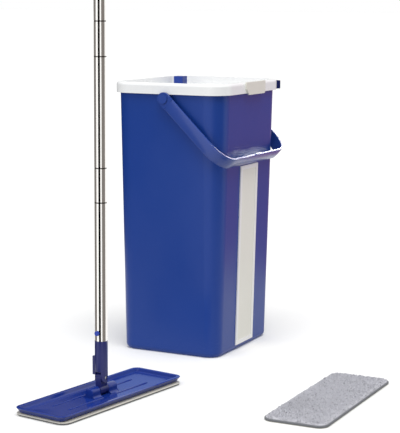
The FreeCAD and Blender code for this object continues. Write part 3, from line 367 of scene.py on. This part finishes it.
give(rubber(), "scraper_blades")
pin_steel = steel("pin_steel", "#B9B9B8", 0.3, (900.0, 900.0, 900.0))
give(pin_steel, "cassette_screws")

# ---------------------------------------------------------------- front clip and corner tab
# Two small mouldings on the rim: a cream clip on the front of the skirt and a navy tab on the
# right front corner.
clip_cream = polypropylene("clip_polypropylene", "#E4E2D8", "#D3D0C4", 0.4, grain=0.25)
corner_navy = polypropylene("corner_polypropylene", "#141C55", "#3A4380", 0.35, grain=0.05)
give(clip_cream, "front_clip")
give(corner_navy, "corner_tab")

# ---------------------------------------------------------------- mop plate
# The head plate: blue polypropylene with undercut sides, a raised crowned rim, a sunken panel with
# stiffening ridges, and two knuckles for the tilt pin, all one moulding.
PLATE_HALF = (132.0 * MM, 43.0 * MM)
PLATE_RADIUS = 11.0 * MM
PLATE_LOW = 4.0 * MM
PLATE_TOP = 12.0 * MM
PANEL_TOP = 7.0 * MM
RIDGE_START = 12.0 * MM
RIDGE_END = 86.0 * MM
RIDGE_SIDE = 14.0 * MM
RIDGE_HALF = 1.5 * MM
RIDGE_RISE = 1.1 * MM
KNUCKLE = (9.2 * MM, 27.2 * MM)
KNUCKLE_RADIUS = 6.5 * MM
KNUCKLE_FILLET = 4.0 * MM
KNUCKLE_EDGE = 1.6 * MM
KNUCKLE_DRAW = 0.16

tilt = joints["head_tilt"]
mop_u = np.array(tilt["axis"], float)
mop_v = np.array((-mop_u[1], mop_u[0], 0.0))
mop_up = np.array((0.0, 0.0, 1.0))
mop_foot = np.array(tilt["pos_m"]) * (1, 1, 0)
TILT_HEIGHT = tilt["pos_m"][2]


def on_mop(local):
    """Points along the plate, across it and up, in the mop's own frame, as points of the model."""
    return mop_foot + local[..., :1] * mop_u + local[..., 1:2] * mop_v + local[..., 2:] * mop_up


def contour(profile, half, radius, arc=9, side=6, least=0.0):
    """A profile of inset and height carried round a rounded rectangle. Each row's loop is the
    outline shrunk by the inset, so an inset of half the width closes it onto its middle line."""
    inset, height = np.array(profile, float).T
    short = np.maximum(half[1] - inset, 0)
    corner = np.minimum(np.maximum(radius - inset, least), short)
    loops = rounded_loop(half[0] - inset, short, corner, arc, side)
    return np.concatenate([loops, np.broadcast_to(height[:, None, None], loops.shape[:2] + (1,))], 2)


def bar(start, end, half, rise, count=24):
    """A low rounded ridge between two points: half an ellipse in section, its height and width
    falling to nothing at both ends as a circle does."""
    share = (1 - np.cos(np.linspace(0, math.pi, count))) / 2
    centre = np.asarray(start) + share[:, None] * (np.asarray(end) - np.asarray(start))
    length = np.linalg.norm(np.asarray(end) - np.asarray(start))
    near = np.minimum(share, 1 - share) * length
    fade = np.sqrt(np.clip(1 - (1 - np.clip(near / (3 * half), 0, 1)) ** 2, 0, 1))
    direction = (np.asarray(end) - np.asarray(start)) / length
    sideways = np.array((-direction[1], direction[0], 0.0))
    angle = np.linspace(0, 2 * math.pi, 16, endpoint=False)
    section = np.stack([half * np.cos(angle), rise * np.sin(angle)], 1)
    return surface(centre[:, None] + fade[:, None, None] * (section[None, :, :1] * sideways
                                                            + section[None, :, 1:] * mop_up))


def knuckle(start, end):
    """A barrel on a flared foot, swept along the tilt axis: half a circle on top, upright sides and
    a concave fillet down to the panel. Its two ends are drawn in by a small rounding."""
    over = np.linspace(0, math.pi, 19)
    flare = np.linspace(0, math.pi / 2, 7)
    top = np.stack([KNUCKLE_RADIUS * np.cos(over), TILT_HEIGHT + KNUCKLE_RADIUS * np.sin(over)], 1)
    left = np.stack([-KNUCKLE_RADIUS - KNUCKLE_FILLET * (1 - np.cos(flare)),
                     PANEL_TOP + KNUCKLE_FILLET * (1 - np.sin(flare))], 1)
    right_side = (left * (-1, 1))[::-1]
    under = np.array([(left[-1, 0], PANEL_TOP - MM), (right_side[0, 0], PANEL_TOP - MM)])
    section = np.concatenate([top, left, under, right_side])
    middle = np.array((0.0, TILT_HEIGHT))
    step = np.linspace(0, math.pi / 2, 6)
    near = start + KNUCKLE_EDGE * (1 - np.cos(step[::-1]))[::-1]
    far = end - KNUCKLE_EDGE * (1 - np.cos(step[::-1]))
    along_u = np.concatenate([near, far])
    shrink = 1 - KNUCKLE_DRAW * (1 - np.sin(np.concatenate([step, step[::-1]])))
    rows = middle + (section[None] - middle) * shrink[:, None, None]
    rows = np.concatenate([rows[:1] * 0 + middle, rows, rows[:1] * 0 + middle])
    along_u = np.concatenate([along_u[:1], along_u, along_u[-1:]])
    u = np.broadcast_to(along_u[:, None, None], rows.shape[:2] + (1,))
    return surface(np.concatenate([u, rows], 2))


plate_profile = [(PLATE_HALF[1], PLATE_LOW), (6.2 * MM, PLATE_LOW), (5.2 * MM, 4.2 * MM),
                 (4.7 * MM, 4.7 * MM), (2.4 * MM, 8.0 * MM), (0.5 * MM, 10.3 * MM),
                 (0.0, 11.0 * MM), (0.1 * MM, 11.5 * MM), (0.6 * MM, 11.9 * MM),
                 (1.4 * MM, PLATE_TOP), (3.6 * MM, PLATE_TOP), (4.6 * MM, 11.8 * MM),
                 (5.2 * MM, 11.4 * MM), (5.5 * MM, 10.8 * MM), (6.6 * MM, 8.2 * MM),
                 (7.2 * MM, 7.5 * MM), (8.2 * MM, 7.1 * MM), (9.4 * MM, PANEL_TOP),
                 (PLATE_HALF[1], PANEL_TOP)]
plate_parts = [surface(contour(plate_profile, PLATE_HALF, PLATE_RADIUS, least=3.0 * MM))]
for side in (-1, 1):
    plate_parts.append(knuckle(*sorted((side * KNUCKLE[0], side * KNUCKLE[1]))))
    for row in (-1, 1):
        plate_parts.append(bar((side * RIDGE_START, row * RIDGE_SIDE, PANEL_TOP),
                               (side * RIDGE_END, row * RIDGE_SIDE, PANEL_TOP),
                               RIDGE_HALF, RIDGE_RISE))
plate_parts = [(on_mop(points), faces) for points, faces in plate_parts]
plate_blue = polypropylene("plate_polypropylene", "#132E80", "#263C90", 0.16, grain=0.05,
                           specular=0.5)
plate = piece("head_plate", plate_parts, plate_blue)
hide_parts("mop_plate")
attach(plate, "mop_head")

# ---------------------------------------------------------------- joint pins and hook tape
# Plain ground steel pins through the knuckles and the fork, and two strips of nylon hook tape glued
# under the plate.
give(pin_steel, "tilt_pin", "fold_pin")


def hook_tape():
    """Woven nylon hook tape: rows of tiny hooks 1.5 mm apart, dark and matt."""
    material, tree, place = empty_material("hook_tape_nylon")
    rows = add(tree, "ShaderNodeTexVoronoi", {"Vector": place, "Scale": 1 / 0.0015})
    bump = add(tree, "ShaderNodeBump",
               {"Height": rows.outputs["Distance"], "Strength": 0.8, "Distance": 0.0006})
    colour = add(tree, "ShaderNodeMixRGB",
                 {"Fac": rows.outputs["Distance"], "Color1": linear("#2B2C30"),
                  "Color2": linear("#4C4D52")})
    shader = add(tree, "ShaderNodeBsdfPrincipled",
                 {"Base Color": colour.outputs[0], "Roughness": 0.8, "Normal": bump.outputs[0]})
    finish_material(tree, shader)
    return material


give(hook_tape(), "hook_strips")

# ---------------------------------------------------------------- pad in use
# The microfibre pad held by the hook tape: a knitted backing with a turned edge, and pile that the
# mop's weight presses flat so that it bulges out all round.
PAD_HALF = (131.0 * MM, 45.0 * MM)
PAD_RADIUS = 14.0 * MM
PILE_TOP = 2.5 * MM
BACKING_TOP = 3.4 * MM
FRINGE_INSET = 2.4 * MM
FRINGE_STEP = 2.4 * MM
FRINGE_HEIGHTS = (0.9 * MM, 1.6 * MM)


def cloth(name, light, dark, thread, sheen=0.3, attribute=None):
    """Microfibre cloth: two greys of yarn, mixed by each tuft's own number where it has one, with a
    fine fibre bump whose spacing is the given thread, and the soft sheen of split fibres."""
    material, tree, place = empty_material(name)
    fibre = add(tree, "ShaderNodeTexNoise",
                {"Vector": place, "Scale": 1 / thread, "Detail": 3.0, "Roughness": 0.7})
    shade = fibre.outputs["Fac"]
    if attribute:
        own = add(tree, "ShaderNodeAttribute", {}, attribute_name=attribute)
        shade = add(tree, "ShaderNodeMath", {0: own.outputs["Fac"], 1: shade, 2: -0.35},
                    operation="ADD").outputs[0]
    ramp = add(tree, "ShaderNodeMapRange", {"Value": shade, "From Min": 0.3, "From Max": 0.75})
    colour = add(tree, "ShaderNodeMixRGB", {"Fac": ramp.outputs[0], "Color1": linear(dark),
                                            "Color2": linear(light)})
    bump = add(tree, "ShaderNodeBump",
               {"Height": fibre.outputs["Fac"], "Strength": 0.7, "Distance": 0.0006})
    shader = add(tree, "ShaderNodeBsdfPrincipled",
                 {"Base Color": colour.outputs[0], "Roughness": 0.95, "Specular IOR Level": 0.15,
                  "Sheen Weight": sheen, "Normal": bump.outputs[0]})
    finish_material(tree, shader)
    return material


def tufts(places, facing, length, rise, yarn, seed):
    """Loops of yarn standing on the given places: each rises and falls as half a sine along its
    length, tilted by its own turn about the up direction, and thins to a point at both feet."""
    random = np.random.default_rng(seed)
    count = len(places)
    share = np.linspace(0, 1, 6)[None, :, None]
    angle = np.linspace(0, 2 * math.pi, 5, endpoint=False)[None, None, :]
    size = random.uniform(0.75, 1.2, (count, 1, 1))
    turn = random.uniform(0, 2 * math.pi, (count, 1, 1))
    thick = yarn * size * np.sin(math.pi * share) ** 0.5
    thick = thick * (share > 0) * (share < 1)
    reach = size * length * (share - 0.5) + thick * np.cos(angle) * 0.3
    lift = size * rise * np.sin(math.pi * share) + thick * np.sin(angle)
    sway = thick * np.cos(angle)
    x = reach * np.cos(turn) - sway * np.sin(turn)
    y = reach * np.sin(turn) + sway * np.cos(turn)
    z = np.broadcast_to(lift, x.shape)
    side, front, normal = facing
    shape = (x[..., None] * side[:, None, None] + y[..., None] * front[:, None, None]
             + z[..., None] * normal[:, None, None])
    points = places[:, None, None] + shape
    one = grid_faces(6, 5)
    faces = (one[None] + 30 * np.arange(count)[:, None, None]).reshape(-1, 4)
    return points.reshape(-1, 3), faces


def pad_outline(half, radius, inset, step):
    """Points every step along a rounded rectangle's outline, with their outward directions and how
    far along it they are."""
    loop = rounded_loop(half[0] - inset, half[1] - inset, radius - inset, arc=24, side=60)[0]
    closed = np.concatenate([loop, loop[:1]])
    run = np.concatenate([[0], np.cumsum(np.linalg.norm(np.diff(closed, axis=0), axis=1))])
    count = int(run[-1] / step)
    at = np.arange(count) * run[-1] / count
    points = np.stack([np.interp(at, run, closed[:, k]) for k in (0, 1)], 1)
    ahead = np.roll(points, -1, 0) - np.roll(points, 1, 0)
    ahead = ahead / np.linalg.norm(ahead, axis=1)[:, None]
    return points, np.stack([ahead[:, 1], -ahead[:, 0]], 1), at


backing_profile = [(PAD_HALF[1], PILE_TOP), (1.0 * MM, PILE_TOP), (0.3 * MM, 2.6 * MM),
                   (0.0, 2.95 * MM), (0.3 * MM, 3.3 * MM), (1.0 * MM, BACKING_TOP),
                   (PAD_HALF[1], BACKING_TOP)]
backing_cloth = cloth("pad_backing_knit", "#E4E1D6", "#B9B5A8", 0.9 * MM)
backing_points, backing_faces = surface(contour(backing_profile, PAD_HALF, PAD_RADIUS))
mop_backing = piece("pad_backing_in_use", [(on_mop(backing_points), backing_faces)], backing_cloth)
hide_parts("mop_pad_backing")
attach(mop_backing, "mop_head")

pile_profile = [(PAD_HALF[1], 0.0), (3.2 * MM, 0.0), (2.2 * MM, 0.4 * MM), (1.8 * MM, 1.0 * MM),
                (1.8 * MM, 1.6 * MM), (2.2 * MM, 2.1 * MM), (3.0 * MM, PILE_TOP),
                (PAD_HALF[1], PILE_TOP)]
pile_points, pile_faces = surface(contour(pile_profile, PAD_HALF, PAD_RADIUS))
fringe_parts = [(on_mop(pile_points), pile_faces)]
edge, out, _ = pad_outline(PAD_HALF, PAD_RADIUS, FRINGE_INSET, FRINGE_STEP)
for level, height in enumerate(FRINGE_HEIGHTS):
    foot = on_mop(np.concatenate([edge, np.full((len(edge), 1), height)], 1))
    normal = out[:, :1] * mop_u + out[:, 1:] * mop_v
    side_way = np.cross(normal, mop_up)
    ups = np.broadcast_to(mop_up, normal.shape)
    fringe_parts.append(tufts(foot, (side_way, ups, normal), length=1.8 * MM, rise=0.9 * MM,
                              yarn=0.4 * MM, seed=level))
pile_cloth = cloth("pad_pile_pressed", "#A3A4A8", "#55565B", 1.1 * MM)
mop_pile = piece("pad_pile_in_use", fringe_parts, pile_cloth)
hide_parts("mop_pad_pile")
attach(mop_pile, "mop_head")

# ---------------------------------------------------------------- swivel, socket and lock slide
# The cross block, the pole's socket and the slide that locks the fold: navy polypropylene with a
# smooth mould finish, darker than the plate.
socket_navy = polypropylene("socket_polypropylene", "#121B60", "#262F78", 0.26, grain=0.04,
                            specular=0.5)
give(socket_navy, "swivel_block", "pole_socket", "lock_slide")

# ---------------------------------------------------------------- rods and joiners
# Five thin stainless tubes, end to end over grey plastic joiners. Each tube above the lowest is
# rolled in by a ring that grips its joiner.
ROD_PITCH = 195.7 * MM
FIRST_SEAM = 273.3 * MM
CRIMP_MIDDLE = 46.7 * MM
DRAWN_LINES = (2500.0, 2500.0, 12.0)
# The rings paint a dark band of shade into each seam and crimp groove.
tube_steel = steel("rod_stainless_steel", "#E9E7E4", 0.09, DRAWN_LINES,
                   rings=(FIRST_SEAM, FIRST_SEAM + CRIMP_MIDDLE), pitch=ROD_PITCH)
foot_steel = steel("lowest_rod_stainless_steel", "#E9E7E4", 0.09, DRAWN_LINES,
                   rings=(FIRST_SEAM,), pitch=ROD_PITCH)
give(foot_steel, "pole_rod_1")
give(tube_steel, "pole_rod_2", "pole_rod_3", "pole_rod_4", "pole_rod_5")
joiner_grey = polypropylene("joiner_acetal", "#8E9094", "#A5A7AB", 0.45)
give(joiner_grey, "rod_connectors")

# ---------------------------------------------------------------- hand grip, snap button and spring
# The grip is soft-touch blue polypropylene pushed over the top rod. The button that locks the
# lowest rod is blue acetal, pushed out by a bent leaf of spring steel.
grip_blue = polypropylene("grip_polypropylene", "#24388F", "#5C6FBD", 0.5, grain=0.35)
button_blue = polypropylene("button_acetal", "#1E3BA6", "#5C6FBD", 0.25, grain=0.03)
give(grip_blue, "hand_grip")
give(button_blue, "snap_button")
give(pin_steel, "button_spring")

# ---------------------------------------------------------------- spare pad
# The spare microfibre pad, lying pile up: a knitted backing, looped pile of light and dark grey
# yarn, and an overlocked edge whose thread is a darker grey.
SPARE_BACKING = 0.9 * MM
SPARE_PILE_BASE = 5.6 * MM
EDGE_YARN = 1.5 * MM
STITCH = 3.2 * MM
LOOP_GAP = 3.0 * MM
LOOP_WANDER = 0.9 * MM
LOOP_MARGIN = 2.6 * MM
LOOP_SINK = 0.7 * MM
spare_low, spare_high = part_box("spare_pad_pile")
spare_centre = np.array((spare_low + spare_high) / 2) * (1, 1, 0)

spare_profile = [(PAD_HALF[1], 0.0), (1.2 * MM, 0.0), (0.6 * MM, 0.5 * MM),
                 (1.2 * MM, SPARE_BACKING), (PAD_HALF[1], SPARE_BACKING)]
spare_points, spare_faces = surface(contour(spare_profile, PAD_HALF, PAD_RADIUS))
spare_backing = piece("spare_backing", [(spare_points + spare_centre, spare_faces)], backing_cloth)
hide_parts("spare_pad_backing")
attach(spare_backing, "spare_pad")

swell_profile = [(PAD_HALF[1], SPARE_BACKING), (1.6 * MM, SPARE_BACKING), (1.2 * MM, 2.2 * MM),
                 (1.6 * MM, 3.6 * MM), (2.8 * MM, 4.8 * MM), (5.0 * MM, 5.4 * MM),
                 (9.0 * MM, SPARE_PILE_BASE), (PAD_HALF[1], SPARE_PILE_BASE)]
swell_points, swell_faces = surface(contour(swell_profile, PAD_HALF, PAD_RADIUS))
columns = np.arange(-PAD_HALF[0] + LOOP_GAP, PAD_HALF[0] - LOOP_GAP / 2, LOOP_GAP)
rows = np.arange(-PAD_HALF[1] + LOOP_GAP, PAD_HALF[1] - LOOP_GAP / 2, LOOP_GAP)
random = np.random.default_rng(7)
grid = np.stack(np.meshgrid(columns, rows), 2).reshape(-1, 2)
grid = grid + random.uniform(-LOOP_WANDER, LOOP_WANDER, grid.shape)
past = np.abs(grid) - (np.array(PAD_HALF) - PAD_RADIUS)
inside = np.linalg.norm(np.maximum(past, 0), axis=1) < PAD_RADIUS - LOOP_MARGIN
grid = grid[inside & (past.max(1) < PAD_RADIUS - LOOP_MARGIN)]
edge_drop = np.interp(np.minimum(PAD_HALF[0] - np.abs(grid[:, 0]), PAD_HALF[1] - np.abs(grid[:, 1])),
                      (LOOP_MARGIN, 9 * MM), (1.0 * MM, 0.0))
height = SPARE_PILE_BASE - LOOP_SINK - edge_drop
feet = np.concatenate([grid, height[:, None]], 1) + spare_centre
axes = [np.broadcast_to(np.array(axis, float), feet.shape) for axis in np.eye(3)]
loops = tufts(feet, axes, length=3.4 * MM, rise=1.9 * MM, yarn=0.62 * MM, seed=11)
spare_pile_cloth = cloth("pad_pile_loops", "#B9B9C0", "#5A5B63", 1.4 * MM, attribute="yarn")
spare_pile = piece("spare_pile", [loops, (swell_points + spare_centre, swell_faces)],
                   spare_pile_cloth)
mesh = spare_pile.data
spot = np.zeros(len(mesh.vertices) * 3)
mesh.vertices.foreach_get("co", spot)
spot = spot.reshape(-1, 3)
cell = np.floor(spot[:, :2] / LOOP_GAP).astype(np.int64)
mixed = np.modf(np.abs(np.sin(cell[:, 0] * 12.9898 + cell[:, 1] * 78.233)) * 43758.5453)[0]
yarn = mesh.attributes.new("yarn", "FLOAT", "POINT")
yarn.data.foreach_set("value", mixed.astype(np.float32))
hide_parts("spare_pad_pile")
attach(spare_pile, "spare_pad")

edge, out, at = pad_outline(PAD_HALF, PAD_RADIUS, EDGE_YARN, STITCH / 5)
swing = 1 + 0.22 * np.cos(2 * math.pi * at / STITCH)
angle = np.linspace(0, 2 * math.pi, 10, endpoint=False)
ring = np.stack([EDGE_YARN * np.cos(angle), 1.9 * MM * np.sin(angle)], 1)
section = ring[None] * np.minimum(swing, 1.0)[:, None, None]
centre = np.concatenate([edge, np.full((len(edge), 1), 2.3 * MM)], 1) + spare_centre
outs = np.concatenate([out, np.zeros((len(out), 1))], 1)
ups = np.broadcast_to(mop_up, outs.shape)
binding_cloth = cloth("pad_edge_overlock", "#8C8E92", "#5F6165", 0.5 * MM, sheen=0.1)
binding = piece("spare_edge_binding",
                [surface(sweep(centre, outs, ups, section, capped=False), close_rows=True)],
                binding_cloth)
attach(binding, "spare_pad")

# ---------------------------------------------------------------- studio
# A white floor under a white world, a wide sun and a soft box, a box that lights the bail alone, and
# coloured, black and white glowing cards that only reflections see: painted reflections set for the
# camera's own bearing.
FLOOR_HALF = 60.0
FLOOR_POINTS = 9
CARD_POINTS = 17
WORLD_LIGHT = 0.62


def lay_floor():
    """A flat square floor in matt white paint, which sends no light back onto the object."""
    share = np.linspace(-1, 1, FLOOR_POINTS)
    x, y = np.meshgrid(FLOOR_HALF * share, FLOOR_HALF * share)
    points = np.stack([x, y, np.zeros_like(x)], 2).reshape(-1, 3)
    mesh = bpy.data.meshes.new("floor")
    mesh.from_pydata(points, [], grid_faces(FLOOR_POINTS, FLOOR_POINTS, close_columns=False))
    floor = bpy.data.objects.new("floor", mesh)
    bpy.context.scene.collection.objects.link(floor)
    material, tree, _ = empty_material("floor_paint")
    shader = add(tree, "ShaderNodeBsdfPrincipled",
                 {"Base Color": linear("#F4F4F3"), "Roughness": 0.9, "Specular IOR Level": 0.1})
    finish_material(tree, shader)
    mesh.materials.append(material)
    floor.visible_diffuse = False


def lamp(name, place, target, width, height, power):
    """A rectangular soft box at a place, facing a target, that the camera doesn't see."""
    data = bpy.data.lights.new(name, "AREA")
    data.shape = "RECTANGLE"
    data.size = width
    data.size_y = height
    data.energy = power
    obj = bpy.data.objects.new(name, data)
    bpy.context.scene.collection.objects.link(obj)
    obj.location = place
    obj.rotation_euler = (Vector(target) - Vector(place)).to_track_quat("-Z", "Y").to_euler()
    obj.visible_camera = False
    return obj


def card(name, centre, bearings, distance, low, high, shade, glow=1.0):
    """An upright glowing card that only reflections see, painting a reflection: an arc about a centre
    between two bearings in degrees, from a low to a high edge, glowing in one shade."""
    angle = np.radians(np.linspace(*bearings, CARD_POINTS))
    foot = centre + distance * np.stack([np.cos(angle), np.sin(angle), 0 * angle], 1)
    points = np.concatenate([foot + mop_up * low, foot + mop_up * high])
    mesh = bpy.data.meshes.new(name)
    mesh.from_pydata(points, [], grid_faces(2, CARD_POINTS, close_columns=False))
    obj = bpy.data.objects.new(name, mesh)
    bpy.context.scene.collection.objects.link(obj)
    material, tree, _ = empty_material(name + "_reflection_glow")
    shader = add(tree, "ShaderNodeEmission", {"Color": linear(shade), "Strength": glow})
    finish_material(tree, shader)
    mesh.materials.append(material)
    obj.visible_camera = False
    obj.visible_diffuse = False
    obj.visible_shadow = False
    obj.visible_transmission = False


lay_floor()
world = bpy.data.worlds.new("studio_air")
bpy.context.scene.world = world
world.use_nodes = True
background = world.node_tree.nodes["Background"]
background.inputs["Color"].default_value = (1.0, 1.0, 1.0, 1.0)
rays = add(world.node_tree, "ShaderNodeLightPath", {})
seen = add(world.node_tree, "ShaderNodeMapRange", {"Value": rays.outputs["Is Camera Ray"],
                                                  "To Min": WORLD_LIGHT, "To Max": 1.0})
world.node_tree.links.new(seen.outputs[0], background.inputs["Strength"])
sun_data = bpy.data.lights.new("wide_sky_box", "SUN")
sun_data.energy = 2.1
sun_data.angle = math.radians(50)
sun = bpy.data.objects.new("wide_sky_box", sun_data)
bpy.context.scene.collection.objects.link(sun)
sun.rotation_euler = (math.radians(14), math.radians(-16), 0)
sun.visible_glossy = False
left_box = lamp("left_box", (-2.4, 0.9, 1.2), (0, 0, 0.2), width=1.6, height=1.6, power=14)
left_box.visible_glossy = False
edge_box = lamp("edge_box", (2.0, -0.35, 1.25), (0, -0.1, 0.3), width=1.3, height=0.9, power=260)
edge_box.visible_diffuse = False
receivers = bpy.data.collections.new("edge_box_receivers")
receivers.objects.link(bail)
edge_box.light_linking.receiver_collection = receivers
bucket_foot = mop_up * 0
card("front_glow", bucket_foot, (-62, -5), distance=0.62, low=0.0, high=1.0, shade="#C98FB4")
card("left_shade", bucket_foot, (132, 182), distance=0.85, low=0.0, high=1.0, shade="#7C8CB4")
card("edge_shade", bucket_foot, (50, 132), distance=0.85, low=0.0, high=1.0, shade="#101836")
card("corner_shade", bucket_foot, (212, 278), distance=1.2, low=0.0, high=1.2, shade="#0A0D1E")
card("plate_shade", mop_foot, (33, 115), distance=0.18, low=0.0, high=0.09, shade="#0E1430")
card("plate_glow", mop_foot, (-45, 33), distance=0.18, low=0.0, high=0.075, shade="#9FB4E8")
pole_cards = (((30, 130), "#8A8683", 1.0), ((130, 169), "#FFFFFF", 1.3), ((169, 206), "#040404", 1.0),
              ((206, 230), "#FFFFFF", 1.3), ((230, 296), "#8C8783", 1.0), ((296, 390), "#FFFFFF", 1.2))
for number, (bearings, shade, glow) in enumerate(pole_cards):
    card(f"pole_card_{number}", mop_foot, bearings, distance=0.12, low=0.05, high=1.4, shade=shade,
         glow=glow)

bpy.context.scene.view_settings.view_transform = "Standard"

# ---------------------------------------------------------------- camera
# A short telephoto lens about two metres off, a little above the rim and looking slightly down at
# the bucket's left front corner.
CAMERA_PLACE = (-2.0295, -1.0038, 0.5428)
HEADING = math.radians(-63.79)
LOOK_DOWN = math.radians(8.543)
ROLL = math.radians(0.37)
camera_data = bpy.data.cameras.new("camera")
camera_data.lens = 119.33
camera_data.sensor_width = 36.0
camera = bpy.data.objects.new("camera", camera_data)
bpy.context.scene.collection.objects.link(camera)
heading = Matrix.Rotation(HEADING, 4, "Z")
pitch = Matrix.Rotation(math.pi / 2 - LOOK_DOWN, 4, "X")
roll = Matrix.Rotation(ROLL, 4, "Z")
camera.matrix_world = Matrix.Translation(CAMERA_PLACE) @ heading @ pitch @ roll
bpy.context.scene.camera = camera
